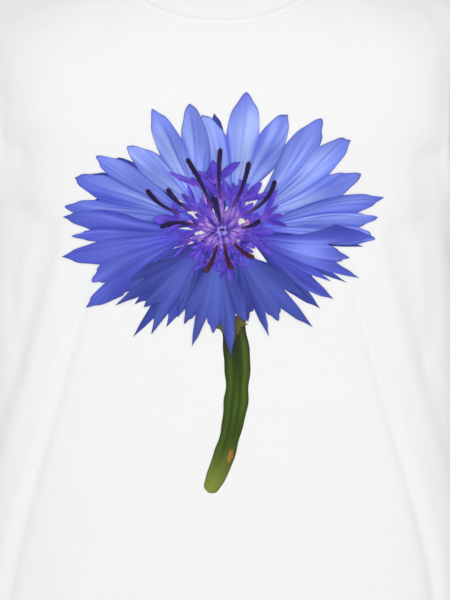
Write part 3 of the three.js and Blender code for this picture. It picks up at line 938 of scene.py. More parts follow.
@dataclass(frozen=True)
class OverlockFinish:
    """A seam allowance under its overlocking: slanting threads over the trimmed jersey edge."""

    name: str = "overlocked_edge"
    white: Colour = (0.900, 0.900, 0.905)
    # The colour of the painted shade in the grooves between the threads.
    shade: Colour = (0.78, 0.78, 0.80)
    pitch: float = 0.0025

    def material(self) -> bpy.types.Material:
        """Returns the material."""
        g = Graph(self.name)
        cloth = g.coordinates(Space.CLOTH)
        along = g.node("ShaderNodeSeparateXYZ", {}, {"Vector": cloth}, "X")
        over = g.node("ShaderNodeSeparateXYZ", {}, {"Vector": cloth}, "Y")
        threads = ((along + over * 0.35) * (2 * math.pi / self.pitch)).apply("SINE") * 0.5 + 0.5
        fuzz = g.noise(cloth, 600.0, 3.0)
        return g.finish(
            # The grooves between the threads, where the bump sinks them, are painted darker: painted shade.
            base_color=g.mix((1 - threads) * 0.6, self.white, self.shade),
            roughness=0.75 + (fuzz - 0.5) * 0.15,
            specular_ior_level=0.25,
            sheen_weight=0.15,
            normal=g.bump(threads + fuzz * 0.4, 0.5, 0.0004),
        )


@dataclass(frozen=True)
class InkFinish:
    """Transfer ink, coloured by the film's own colour attribute, with the knit showing in its surface."""

    name: str = "flower_ink"
    attribute: str = "ink"
    wale: float = 0.0011
    course: float = 0.0009

    def material(self) -> bpy.types.Material:
        """Returns the material."""
        g = Graph(self.name)
        ink = g.node("ShaderNodeAttribute", {"attribute_name": self.attribute}, {}, "Color")
        cloth = g.coordinates(Space.OBJECT)
        wales = g.bands(cloth, 1 / (self.wale * 20), "X", 0.35)
        courses = g.bands(cloth, 1 / (self.course * 20), "Z", 0.35)
        grain = g.noise(cloth, 420.0, 3.0, 0.6)
        vein = g.noise(g.scaled(g.coordinates(Space.CLOTH), (620.0, 26.0, 1.0)), 1.0, 3.0, 0.6)
        limits = {"From Min": 0.25, "From Max": 0.75, "To Min": 0.87, "To Max": 1.13}
        soft = g.node("ShaderNodeMapRange", {}, {"Value": vein * 0.7 + grain * 0.3, **limits})
        tinted = g.node("ShaderNodeVectorMath", {"operation": "SCALE"}, {0: ink, "Scale": soft})
        return g.finish(
            base_color=tinted,
            roughness=0.62 + (grain - 0.5) * 0.2,
            specular_ior_level=0.12,
            normal=g.bump(wales * 0.5 + courses * 0.35 + grain * 0.4, 0.25, 0.0002),
        )


# ---- Mesh helpers ----


class Workshop:
    """Operator steps that every piece goes through."""

    @staticmethod
    def deselect() -> None:
        """Leaves nothing selected, so that an operator acts on one piece only."""
        if bpy.context.mode != "OBJECT":
            bpy.ops.object.mode_set(mode="OBJECT")
        bpy.ops.object.select_all(action="DESELECT")

    @classmethod
    def activate(cls, piece: bpy.types.Object) -> None:
        """Selects one piece and makes it the active one."""
        cls.deselect()
        piece.select_set(True)
        bpy.context.view_layer.objects.active = piece

    @classmethod
    def edit_all(cls, piece: bpy.types.Object, operator: Callable, **settings: float | bool) -> None:
        """Runs an edit mode operator on all of a piece."""
        cls.activate(piece)
        bpy.ops.object.mode_set(mode="EDIT")
        bpy.ops.mesh.select_all(action="SELECT")
        operator(**settings)
        bpy.ops.object.mode_set(mode="OBJECT")

    @staticmethod
    def lay_flat(mesh: bpy.types.Mesh, layer: bpy.types.MeshUVLoopLayer, cloth: Array) -> None:
        """Writes each vertex's flat coordinates to a UV layer."""
        corners = np.zeros(len(mesh.loops), np.int32)
        mesh.loops.foreach_get("vertex_index", corners)
        layer.data.foreach_set("uv", cloth.reshape(-1, 2)[corners].reshape(-1).astype(np.float32))

    @classmethod
    def sheet(cls, name: str, points: Array, cloth: Array, ring: bool = False) -> bpy.types.Object:
        """Lays a flat grid out as a shaped sheet.

        Args:
            name: the piece's name.
            points: its places, as rows of columns of points.
            cloth: its flat coordinates, as rows of columns of pairs, in metres.
            ring: whether the last column lies on the first, and is joined to it.

        Returns:
            The sheet, one face thick.
        """
        rows, columns = points.shape[:2]
        cls.deselect()
        bpy.ops.mesh.primitive_grid_add(x_subdivisions=columns - 1, y_subdivisions=rows - 1, size=1)
        piece = bpy.context.object
        piece.name = name
        mesh = piece.data
        mesh.name = name
        mesh.vertices.foreach_set("co", points.reshape(-1).astype(np.float32))
        layer = mesh.uv_layers[0]
        layer.name = Space.CLOTH.value
        cls.lay_flat(mesh, layer, cloth)
        mesh.update()
        if ring:
            cls.edit_all(piece, bpy.ops.mesh.remove_doubles, threshold=1e-6)
        return piece

    @classmethod
    def face_outwards(cls, piece: bpy.types.Object, inside: tuple[float, float, float]) -> None:
        """Turns a sheet's faces round if most of them look towards a point inside."""
        polygons = piece.data.polygons
        normals, centres = np.zeros((2, 3 * len(polygons)), np.float32)
        polygons.foreach_get("normal", normals)
        polygons.foreach_get("center", centres)
        if np.sum(normals.reshape(-1, 3) * (centres.reshape(-1, 3) - np.array(inside))) <= 0:
            cls.edit_all(piece, bpy.ops.mesh.flip_normals)

    @classmethod
    def thicken(cls, piece: bpy.types.Object, thickness: float, doubled: Array | None = None) -> None:
        """Gives a sheet its thickness, inwards from its outer surface.

        Args:
            piece: the sheet.
            thickness: of the single cloth.
            doubled: for each vertex, 1 where the cloth is turned in and lies double, else 0.
        """
        cls.activate(piece)
        solid = piece.modifiers.new("thickness", "SOLIDIFY")
        solid.offset = -1.0
        solid.use_rim = True
        solid.thickness = thickness
        if doubled is not None:
            group = piece.vertex_groups.new(name="doubled")
            for level in np.unique(np.round(doubled, 2)):
                members = np.flatnonzero(np.round(doubled, 2) == level)
                group.add(members.tolist(), float(level), "REPLACE")
            solid.thickness = DOUBLED * thickness
            solid.vertex_group = group.name
            solid.thickness_vertex_group = 1 / DOUBLED
        bpy.ops.object.modifier_apply(modifier=solid.name)
        piece.vertex_groups.clear()

    @classmethod
    def solid(cls, name: str, vertices: Array, faces: list, cloth: Array | None = None) -> bpy.types.Object:
        """Makes a piece from vertices and faces that a sweep or a row of copies has laid out."""
        mesh = bpy.data.meshes.new(name)
        mesh.from_pydata(vertices.reshape(-1, 3).tolist(), [], faces)
        layer = mesh.uv_layers.new(name=Space.CLOTH.value)
        if cloth is not None:
            cls.lay_flat(mesh, layer, cloth)
        mesh.update()
        piece = bpy.data.objects.new(name, mesh)
        bpy.context.scene.collection.objects.link(piece)
        return piece

    @classmethod
    def smooth(cls, piece: bpy.types.Object, angle: float = math.radians(50)) -> None:
        """Shades a piece smooth, apart from edges sharper than an angle."""
        cls.activate(piece)
        bpy.ops.object.shade_smooth_by_angle(angle=angle)

    @classmethod
    def outwards(cls, piece: bpy.types.Object) -> None:
        """Points a closed piece's faces outwards."""
        cls.edit_all(piece, bpy.ops.mesh.normals_make_consistent, inside=False)

    @staticmethod
    def dress(piece: bpy.types.Object, material: bpy.types.Material) -> None:
        """Gives a piece its only material."""
        piece.data.materials.clear()
        piece.data.materials.append(material)


def swept(rings: Array, closed: bool) -> list:
    """Returns the faces of a swept bar.

    Args:
        rings: its vertices, as sections of corners.
        closed: whether the last section joins the first; otherwise both ends are capped.
    """
    count, corners = rings.shape[:2]
    faces = []
    for ring in range(count if closed else count - 1):
        here, there = ring * corners, (ring + 1) % count * corners
        for corner in range(corners):
            after = (corner + 1) % corners
            faces.append((here + corner, here + after, there + after, there + corner))
    if not closed:
        faces.append(tuple(range(corners - 1, -1, -1)))
        last = (count - 1) * corners
        faces.append(tuple(last + corner for corner in range(corners)))
    return faces


# ---- Cloth pieces ----


def spread(counts: list[tuple[float, float, int, float]]) -> Array:
    """Returns samples over joined stretches.

    Args:
        counts: for each stretch its start, its end, its number of steps, and a power above 1 that
            crowds them at its start, or below 0 to crowd them at its end.
    """
    values = [counts[0][0]]
    for start, end, steps, power in counts:
        share = np.linspace(0, 1, steps + 1)[1:]
        eased = share**power if power > 0 else 1 - (1 - share) ** -power
        values.extend(lerp(start, end, eased))
    return np.array(values)


@dataclass
class BodyPanel:
    """The front or back panel of jersey, from the neck and shoulder seams to the turned-up hem."""

    face: Face
    drape: Drape
    thickness: float = 0.0008
    neck_columns: int = 40
    middle_columns: int = 44
    side_columns: int = 26
    upper_rows: int = 84
    lower_rows: int = 92
    hem_rows: int = 26
    fold_column: float = 0.62
    fan_width: float = 0.06
    fan_pace: float = 11.0
    # The cut: the cloth's own lengths, with 1 cm for each seam and the hem's turn-up.
    flat: tuple[float, float] = (0.585, 0.786)
    flat_area: float = 0.407

    @property
    def name(self) -> str:
        """Returns the panel's node name."""
        return "front_panel" if self.face is Face.FRONT else "back_panel"

    def layout(self) -> tuple[Array, Array]:
        """Returns the across and down of the panel's grid.

        Its columns start evenly along the neck and shoulder seams, fan out from the high shoulder
        points, and crowd where the side folds run.
        """
        form = self.drape.form
        neck = form.neck_share
        half = np.concatenate(
            [
                spread([(0.0, 1.0, self.neck_columns, 1.0)]),
                1 + spread([(0.0, 1.0, self.middle_columns, 1.0)])[1:],
                2 + spread([(0.0, 1.0, self.side_columns, 1.25)])[1:],
            ]
        )
        columns = np.concatenate([-half[:0:-1], half])
        upper = spread(
            [(0.0, 0.020, 16, 1.0), (0.020, 0.10, 24, 1.0), (0.10, 1.0, self.upper_rows - 40, 1.0)]
        )
        hem_start = 1 - (self.drape.hem_depth + 0.012) / (form.underarm_z - form.hem_z)
        lower = spread([(0.0, hem_start, self.lower_rows, 1.0), (hem_start, 1.0, self.hem_rows, -1.3)])[1:]
        rows = np.concatenate([upper, 1 + lower])
        place, row = np.meshgrid(columns, rows)
        z = lerp(form.underarm_z, form.hem_z, np.clip(row - 1, 0, 1))
        on_fold = self.face is Face.FRONT
        below = self.drape.fold_share(z) if on_fold else np.full_like(z, self.fold_column)
        crest = lerp(self.fold_column, below, smoothstep(row, 0.0, 1.0))
        part = np.abs(place)
        fallen = np.clip(row, 0, 1)
        fanned = (1 + self.fan_pace) * fallen / (1 + self.fan_pace * fallen)
        corner = neck + self.fan_width * fanned
        evenly = neck * np.sin(np.clip(part, 0, 1) * math.pi / 2)
        inner = lerp(evenly, (neck + self.fan_width) * part, fanned)
        outer = np.where(part <= 2, lerp(corner, crest, part - 1), lerp(crest, 1.0, part - 2))
        across = np.where(part <= 1, inner, outer) * np.sign(place)
        top = form.top(self.face, across[0])[None, :]
        down = np.where(
            row <= 1,
            lerp(top, form.upper_share, np.clip(row, 0, 1)),
            lerp(form.upper_share, 1.0, np.clip(row - 1, 0, 1)),
        )
        return across, down

    def laid_flat(self, across: Array, down: Array) -> Array:
        """Returns the places of the panel's points in the flat cloth, which its knit runs along."""
        steps, plumb = 80, 104
        columns, rows = np.linspace(-1, 1, 2 * steps + 1), np.linspace(0, 1, steps + 1)
        points = self.drape.form.point(self.face, *np.meshgrid(columns, rows))
        run = np.cumsum(length_of(np.diff(points, axis=1)), axis=1)
        run = np.concatenate([np.zeros((len(rows), 1)), run], axis=1)
        run = run - run[:, steps : steps + 1]
        fall = run_along(points[:, plumb])
        column, row = (across + 1) * steps, down * steps
        left = np.clip(np.floor(column).astype(int), 0, 2 * steps - 1)
        top = np.clip(np.floor(row).astype(int), 0, steps - 1)
        part, deep = column - left, row - top
        upper = lerp(run[top, left], run[top, left + 1], part)
        lower = lerp(run[top + 1, left], run[top + 1, left + 1], part)
        return np.stack([lerp(upper, lower, deep), lerp(fall[top], fall[top + 1], deep)], axis=-1)

    def build(self) -> bpy.types.Object:
        """Returns the panel, with its thickness and its doubled hem."""
        across, down = self.layout()
        points = self.drape.surface(self.face, across, down)
        panel = Workshop.sheet(f"{self.name}_cloth", points, self.laid_flat(across, down))
        Workshop.face_outwards(panel, (0.0, 0.0, -0.35))
        hem_up = self.drape.form.point(self.face, across, down)[..., 2] - self.drape.form.hem_z
        turned_in = 1 - smoothstep(hem_up, self.drape.hem_depth - 0.0008, self.drape.hem_depth + 0.0008)
        Workshop.thicken(panel, self.thickness, turned_in.reshape(-1))
        Workshop.smooth(panel)
        return panel


@dataclass
class Sleeve:
    """A short sleeve of jersey, closed by its underarm seam, with a turned-up cuff."""

    side: float
    drape: SleeveDrape
    thickness: float = 0.0008
    columns: int = 180
    rows: int = 88
    cuff_rows: int = 22
    cuff_start: float = 0.82
    cloth_radius: float = 0.060
    # The cut, with 1 cm for each seam and the cuff's turn-up.
    flat: tuple[float, float] = (0.403, 0.255)
    flat_area: float = 0.069

    @property
    def name(self) -> str:
        """Returns the sleeve's node name."""
        return "left_sleeve" if self.side > 0 else "right_sleeve"

    def build(self) -> bpy.types.Object:
        """Returns the sleeve, with its thickness and its doubled cuff."""
        turns = np.linspace(0, 2 * math.pi, self.columns + 1)
        head, cuff = 0.03, self.cuff_start
        rows = spread(
            [(0.0, head, 6, 1.0), (head, cuff, self.rows - 6, 1.0), (cuff, 1.0, self.cuff_rows, 1.0)]
        )
        turn, along = np.meshgrid(turns, rows)
        points = self.drape.surface(turn, along)
        points[:, -1] = points[:, 0]
        reach = self.drape.reach(turn)
        cloth = np.stack([turn * self.cloth_radius, along * reach], axis=-1)
        sleeve = Workshop.sheet(f"{self.name}_cloth", points, cloth, ring=True)
        left = (1 - along) * reach
        depth = self.drape.body.hem_depth
        doubled = 1 - smoothstep(left, depth - 0.0008, depth + 0.0012)
        Workshop.face_outwards(sleeve, (0.27 * self.side, 0.0, -0.18))
        Workshop.thicken(sleeve, self.thickness, self.per_vertex(sleeve, points, doubled))
        Workshop.smooth(sleeve)
        return sleeve

    @staticmethod
    def per_vertex(sleeve: bpy.types.Object, points: Array, values: Array) -> Array:
        """Returns grid values in the order of the joined ring's vertices."""
        places = np.zeros(len(sleeve.data.vertices) * 3, np.float32)
        sleeve.data.vertices.foreach_get("co", places)
        grid = np.round(points.reshape(-1, 3), 5).tolist()
        keys = {tuple(place): value for place, value in zip(grid, values.reshape(-1))}
        found = np.round(places.reshape(-1, 3).astype(float), 5).tolist()
        return np.array([keys.get(tuple(p), 0.0) for p in found])


@dataclass
class NeckBand:
    """The rib-knit neckband: a folded strip whose ribs stand up round the neck."""

    drape: Drape
    height: float = 0.020
    thickness: float = 0.0022
    ribs: int = 272
    samples_per_rib: int = 4
    rib_height: float = 0.00017
    start: float = -0.0008
    sunk: float = 0.0003
    lean_side: float = -0.72
    lean_front: float = 0.42
    lean_back: float = -0.30
    flat: tuple[float, float] = (0.47, 0.021)

    def frames(self, turn: Array) -> tuple[Array, Array, Array]:
        """Returns the seam's points, the cloth's outward normals, and the way away from the opening."""
        h = 1e-3
        at = self.drape.form.neck_point(turn)
        tangent = unit(self.drape.form.neck_point(turn + h) - self.drape.form.neck_point(turn - h))
        out = self.outward(turn)
        out = unit(out - tangent * np.sum(out * tangent, -1)[..., None])
        return at, out, np.cross(tangent, out)

    def outward(self, turn: Array) -> Array:
        """Returns the smooth panels' normals at the neck seam."""
        form = self.drape.form
        across = form.neck_share * np.sin(turn)
        found = []
        for face in Face:
            down = form.top(face, across)
            found.append(normals_of(partial(form.point, face), across, down, 1e-3) * face.value)
        near = smoothstep(np.cos(turn), -0.10, 0.10)[..., None]
        return unit(lerp(found[1], found[0], near))

    def lean(self, turn: Array) -> Array:
        """Returns the way up the band."""
        level = np.sin(turn) ** 2
        inward = lerp(self.lean_back, self.lean_front, smoothstep(np.cos(turn), -0.12, 0.12))
        sideways, forwards = self.lean_side * np.sin(turn), inward * np.abs(np.cos(turn))
        return unit(stack(sideways, forwards, lerp(0.92, 0.72, level)))

    def crowded_turns(self, count: int) -> Array:
        """Returns turns that are evenly spaced along the seam."""
        fine = np.linspace(0, 2 * math.pi, 2400)
        seam = self.drape.form.neck_point(fine)
        run = run_along(seam)
        return np.interp(np.linspace(0, run[-1], count, endpoint=False), run, fine)

    def profile(self) -> tuple[Array, Array]:
        """Returns the band's section as distances up it and out of its middle, outside first."""
        half = self.thickness / 2
        bulge = np.linspace(0, 1, 9)
        rise = lerp(self.start, self.height - half, bulge)
        crowned = half * (0.72 + 0.28 * np.sin(math.pi * np.clip(bulge * 0.9 + 0.12, 0, 1)))
        bend = np.linspace(0, math.pi, 8)[1:-1]
        up = np.concatenate([rise, self.height - half + half * np.sin(bend), rise[::-1]])
        out = np.concatenate([crowned, half * 0.86 * np.cos(bend), -crowned[::-1] * 0.9])
        return up, out

    def build(self) -> bpy.types.Object:
        """Returns the neckband."""
        count = self.ribs * self.samples_per_rib
        turn = self.crowded_turns(count)
        at, out, away = self.frames(turn)
        up_way = self.lean(turn)
        out_way = unit(out - up_way * np.sum(out * up_way, -1)[..., None])
        up, far = self.profile()
        ribbed = self.rib_height * np.cos(2 * math.pi * np.arange(count) / self.samples_per_rib)
        away_from_seam = smoothstep(up, 0.0, 0.0035)
        stretch = 1 + 0.02 * Ripple(0.05, 6, 31).at(at)[:, None] * away_from_seam[None, :]
        reach = np.sign(far)[None, :] * ribbed[:, None] * away_from_seam[None, :] + far[None, :]
        points = at[:, None, :] + up_way[:, None, :] * (up[None, :] * stretch)[..., None]
        points = points + out_way[:, None, :] * (reach - self.thickness / 2 - self.sunk)[..., None]
        run = np.arange(count) / count * self.flat[0]
        over = np.cumsum(np.abs(np.gradient(up)))
        cloth = np.stack(np.broadcast_arrays(run[:, None], over[None, :]), axis=-1)
        band = Workshop.solid("neckband_rib", points, swept(points, True), cloth)
        Workshop.outwards(band)
        Workshop.smooth(band, math.radians(70))
        return band


# ---- Stitching, seam allowances and tape ----


@dataclass(frozen=True)
class Track:
    """A line on the shirt: its points, its outward normals, and whether it closes on itself."""

    points: Array
    normals: Array
    closed: bool

    def spaced(self, pitch: float, shift: float = 0.0) -> tuple[Array, Array, Array]:
        """Returns evenly spaced points, the directions of the line there, and the normals.

        Args:
            pitch: the distance between two points.
            shift: how far the first point lies along the line, as a share of the pitch.
        """
        places, outs = self.points, self.normals
        if self.closed:
            places, outs = np.vstack([places, places[:1]]), np.vstack([outs, outs[:1]])
        run, h = run_along(places), 1e-4
        count = max(2, int(round(run[-1] / pitch)))
        at = (np.arange(count) + shift) / count * run[-1]

        def read(values: Array, where: Array) -> Array:
            """Returns values of the line, read at distances along it."""
            return np.stack([np.interp(where, run, values[:, axis]) for axis in range(3)], axis=-1)

        centres, normals = read(places, at), unit(read(outs, at))
        ways = read(places, np.minimum(at + h, run[-1])) - read(places, np.maximum(at - h, 0))
        ways = unit(ways - normals * np.sum(ways * normals, -1)[..., None])
        return centres, ways, normals


@dataclass
class CoverStitch:
    """Two needle rows of stitches outside, and the looper thread that zigzags between them inside."""

    name: str
    rows: tuple[Track, Track]
    inside: tuple[Track, Track]
    pitch: float = 0.0031
    stitch_length: float = 0.0026
    thread: float = 0.00046
    sides: int = 6
    bow: float = 0.00016
    looper_radius: float = 0.00026
    looper_depth: float = 0.0003

    def stitch(self) -> tuple[Array, list]:
        """Returns one stitch, modelled once: a rounded stub of thread, bowed down at both ends."""
        Workshop.deselect()
        bpy.ops.mesh.primitive_uv_sphere_add(segments=self.sides, ring_count=4, radius=self.thread / 2)
        ball = bpy.context.object
        places = np.array([v.co for v in ball.data.vertices])
        faces = [tuple(p.vertices) for p in ball.data.polygons]
        mesh = ball.data
        bpy.data.objects.remove(ball)
        bpy.data.meshes.remove(mesh)
        turned = np.stack([places[:, 2], places[:, 0], places[:, 1]], axis=-1)
        half = (self.stitch_length - self.thread) / 2
        turned[:, 0] += np.sign(turned[:, 0]) * half * (np.abs(turned[:, 0]) > 1e-7)
        turned[:, 2] -= self.bow * np.square(turned[:, 0] / (self.stitch_length / 2))
        return turned, faces

    def build(self) -> bpy.types.Object:
        """Returns all of the stitching as one piece."""
        shape, shape_faces = self.stitch()
        vertices, faces, used = [], [], 0
        for row, track in enumerate(self.rows):
            centres, ways, normals = track.spaced(self.pitch, 0.5 * row)
            sides = np.cross(normals, ways)
            centres = centres + normals * (0.30 * self.thread)
            placed = (
                centres[:, None, :]
                + ways[:, None, :] * shape[None, :, 0:1]
                + sides[:, None, :] * shape[None, :, 1:2]
                + normals[:, None, :] * shape[None, :, 2:3]
            )
            vertices.append(placed.reshape(-1, 3))
            for copy in range(len(centres)):
                first = used + copy * len(shape)
                faces.extend(tuple(first + corner for corner in face) for face in shape_faces)
            used += len(centres) * len(shape)
        looper, looper_faces = self.looper()
        vertices.append(looper)
        faces.extend(tuple(used + corner for corner in face) for face in looper_faces)
        piece = Workshop.solid(self.name, np.vstack(vertices), faces)
        Workshop.outwards(piece)
        Workshop.smooth(piece, math.radians(80))
        return piece

    def looper(self) -> tuple[Array, list]:
        """Returns the looper thread's vertices and faces."""
        near, _, near_out = self.inside[0].spaced(self.pitch, 0.0)
        far, _, far_out = self.inside[1].spaced(self.pitch, 0.5)
        count = min(len(near), len(far))
        line = np.empty((2 * count, 3))
        out = np.empty((2 * count, 3))
        line[0::2], line[1::2] = near[:count], far[:count]
        out[0::2], out[1::2] = near_out[:count], far_out[:count]
        closed = self.inside[0].closed
        ahead, behind = np.roll(line, -1, axis=0), np.roll(line, 1, axis=0)
        if not closed:
            ahead[-1], behind[0] = line[-1], line[0]
        ways = unit(ahead - behind)
        sides = unit(np.cross(out, ways))
        turns = np.linspace(0, 2 * math.pi, 4, endpoint=False) + math.pi / 4
        rings = (
            line[:, None, :]
            - out[:, None, :] * self.looper_depth
            + sides[:, None, :] * (self.looper_radius * np.cos(turns))[None, :, None]
            + out[:, None, :] * (self.looper_radius * np.sin(turns))[None, :, None]
        )
        return rings.reshape(-1, 3), swept(rings, closed)


@dataclass
class SeamAllowance:
    """The trimmed and overlocked edges of two cloths, which lie to one side inside the shirt."""

    name: str
    sewn: Track
    edge: Track
    thickness: float = 0.0013
    pitch: float = 0.0025
    ridge: float = 0.00022
    step: float = 0.0010
    width: float = 0.007

    def build(self) -> bpy.types.Object:
        """Returns the strip, ridged by the threads that wrap its edge."""
        start, _, out = self.sewn.spaced(self.step)
        end, _, _ = self.edge.spaced(self.step)
        count = min(len(start), len(end))
        start, end, out = start[:count], end[:count], out[:count]
        under = [(0.0, 0.0), (0.35, 0.06), (0.7, 0.05), (0.94, 0.10)]
        profile = [*under, (1.03, 0.5), (0.94, 0.93), (0.7, 1.0), (0.35, 0.96), (0.0, 0.72)]
        run = np.arange(count) * self.step
        rings = np.empty((count, len(profile), 3))
        for corner, (over, deep) in enumerate(profile):
            ridged = self.ridge * np.sin(2 * math.pi * (run / self.pitch + 0.9 * over))
            ridged = ridged * smoothstep(over, 0.1, 0.5)
            depth = deep * self.thickness + (ridged if deep > 0.4 else 0.0)
            rings[:, corner] = lerp(start, end, over) - out * np.asarray(depth).reshape(-1, 1)
        across = np.array([self.width * over for over, _ in profile])
        cloth = np.stack(np.broadcast_arrays(run[:, None], across[None, :]), axis=-1)
        piece = Workshop.solid(self.name, rings, swept(rings, self.sewn.closed), cloth)
        Workshop.outwards(piece)
        Workshop.smooth(piece, math.radians(60))
        return piece


# ---- The printed cornflower ----


def shade(red: int, green: int, blue: int) -> Array:
    """Returns a display colour, from its three parts out of 255, as shares."""
    return np.array([red, green, blue], float) / 255


def rounded(share: Array) -> Array:
    """Returns the width of a round end, at shares of its length from the tip."""
    return np.sqrt(1 - (1 - share) ** 2)


def to_linear(display: Array) -> Array:
    """Returns display colours as the linear light that a material takes."""
    low = display / 12.92
    high = ((np.clip(display, 0, 1) + 0.055) / 1.055) ** 2.4
    return np.where(display <= 0.04045, low, high)


@dataclass(frozen=True)
class Tone:
    """The colours of one kind of petal or stroke, and how strongly it is streaked."""

    root: Array
    middle: Array
    tip: Array
    edge: Array
    gleam: Array
    fold: Array
    streaks: int = 14
    contrast: float = 0.8
    edge_line: float = 0.5


@dataclass(frozen=True)
class Film:
    """One shape of ink: a grid of flat points with its colours and its streak coordinates."""

    flat: Array
    colour: Array
    streak: Array
    layer: float


class Outline(Enum):
    """How wide a stroke is from its root to its tip."""

    SLIVER = "sliver"
    ROD = "rod"
    STEM = "stem"


class Rank(Enum):
    """Which florets a piece of the print holds."""

    BACK = "back"
    FRONT = "front"


@dataclass(frozen=True)
class Stroke:
    """A narrow shape of ink along a bent line, in the flat view of the front.

    Fields:
        root: where it starts, as x and z.
        tip: where it ends.
        bow: how far its middle is pushed to the left of its way, as a share of its length.
        half_width: half its greatest width.
        outline: how the width runs.
        tone: its colours.
        layer: how many films lie under it.
        seed: which streaks and wobbles it has.
        root_width: its width at the root, as a share of the greatest.
        belly: where along it the greatest width is.
        columns: how many points lie across it.
        rows: how many points lie along it.
    """

    root: tuple[float, float]
    tip: tuple[float, float]
    bow: float
    half_width: float
    outline: Outline
    tone: Tone
    layer: float
    seed: int
    root_width: float = 0.16
    belly: float = 0.66
    columns: int = 8
    rows: int = 16

    def widths(self, v: Array) -> Array:
        """Returns half the width at shares of the length."""
        if self.outline is Outline.ROD:
            start, end = np.clip(v / 0.06, 0, 1), np.clip((1 - v) / 0.06, 0, 1)
            swell = 0.62 + 0.38 * smoothstep(v, 0.15, 0.9)
            return self.half_width * swell * rounded(start) * rounded(end) + HAIRLINE
        if self.outline is Outline.STEM:
            end = np.clip((1 - v) / 0.035, 0, 1)
            bumps = 1 + 0.05 * np.cos(23 * v + 1) + 0.035 * np.cos(41 * v) + 0.10 * bell(v - 0.86, 0.05)
            taper = lerp(1.0, 0.74, smoothstep(v, 0.15, 0.95)) - 0.16 * smoothstep(v, 0.90, 1.0)
            return self.half_width * taper * bumps * rounded(end) + HAIRLINE
        rise = lerp(self.root_width, 1.0, smoothstep(v, -0.25, self.belly) ** 1.25)
        fall = 1 - np.clip((v - self.belly) / (1 - self.belly), 0, 1) ** 1.2
        return self.half_width * rise * fall + 6e-5

    def centre(self, v: Array) -> tuple[Array, Array]:
        """Returns the centre line's points and its left-hand normals in the flat view."""
        start, end = np.array(self.root), np.array(self.tip)
        way = end - start
        left = np.array([-way[1], way[0]])
        pull = start + way * 0.5 + left * self.bow * 2
        v = v[..., None]
        line = (1 - v) ** 2 * start + 2 * v * (1 - v) * pull + v * v * end
        slope = unit(2 * (1 - v) * (pull - start) + 2 * v * (end - pull))
        return line, np.stack([-slope[..., 1], slope[..., 0]], axis=-1)

    def colours(self, u: Array, v: Array) -> Array:
        """Returns display colours over the stroke, u from -1 to 1 across it and v from root to tip."""
        rng = np.random.default_rng(self.seed + 1000)
        tone, contrast = self.tone, self.tone.contrast
        colour = lerp(tone.root, tone.middle, smoothstep(v, 0.02, 0.42)[..., None])
        colour = lerp(colour, tone.tip, (smoothstep(v, 0.60, 1.0) * 0.85)[..., None])
        for streak in range(tone.streaks):
            middle = lerp(-0.85, 0.85, (streak + rng.uniform(0.1, 0.9)) / tone.streaks)
            start, end = rng.uniform(-0.1, 0.35), rng.uniform(0.62, 1.02)
            lit = streak % 2 == 0
            window = smoothstep(v, start, start + 0.22) * (1 - smoothstep(v, end - 0.22, end))
            line = bell(u - middle * (1 - 0.15 * v), rng.uniform(0.10, 0.25)) * window * rng.uniform(0.3, 0.7)
            colour = lerp(colour, tone.gleam if lit else tone.fold, (line * contrast)[..., None])
        cloud = np.cos(9 * v + 1.7 * u + rng.uniform(0, 6.28))
        cloud = cloud * np.cos(2.3 * u - 5 * v + rng.uniform(0, 6.28))
        colour = colour * (1 + 0.06 * cloud)[..., None]
        rim = (1 - np.abs(u)) * self.widths(v)
        line = (1 - smoothstep(rim, 0.0002, 0.0011)) * tone.edge_line
        return np.clip(lerp(colour, tone.edge, line[..., None]), 0, 1)

    def film(self) -> Film:
        """Returns the stroke as a film of ink."""
        rng = np.random.default_rng(self.seed)
        over = np.sin(np.linspace(-math.pi / 2, math.pi / 2, self.columns))
        u, v = np.meshgrid(over, np.linspace(0, 1, self.rows))
        line, left = self.centre(v)
        uneven = np.ones_like(v)
        if self.outline is Outline.SLIVER:
            for pace in (3.0, 7.0, 13.0):
                size = 0.16 * rng.uniform(-1, 1)
                uneven += size * np.cos(pace * math.pi * v + rng.uniform(0, 6.28) + np.sign(u))
        flat = line + left * (u * self.widths(v) * uneven)[..., None]
        length = math.hypot(self.tip[0] - self.root[0], self.tip[1] - self.root[1])
        streak = np.stack([0.05 * self.seed + u * self.half_width, v * length], axis=-1)
        return Film(flat, self.colours(u, v), streak, self.layer)


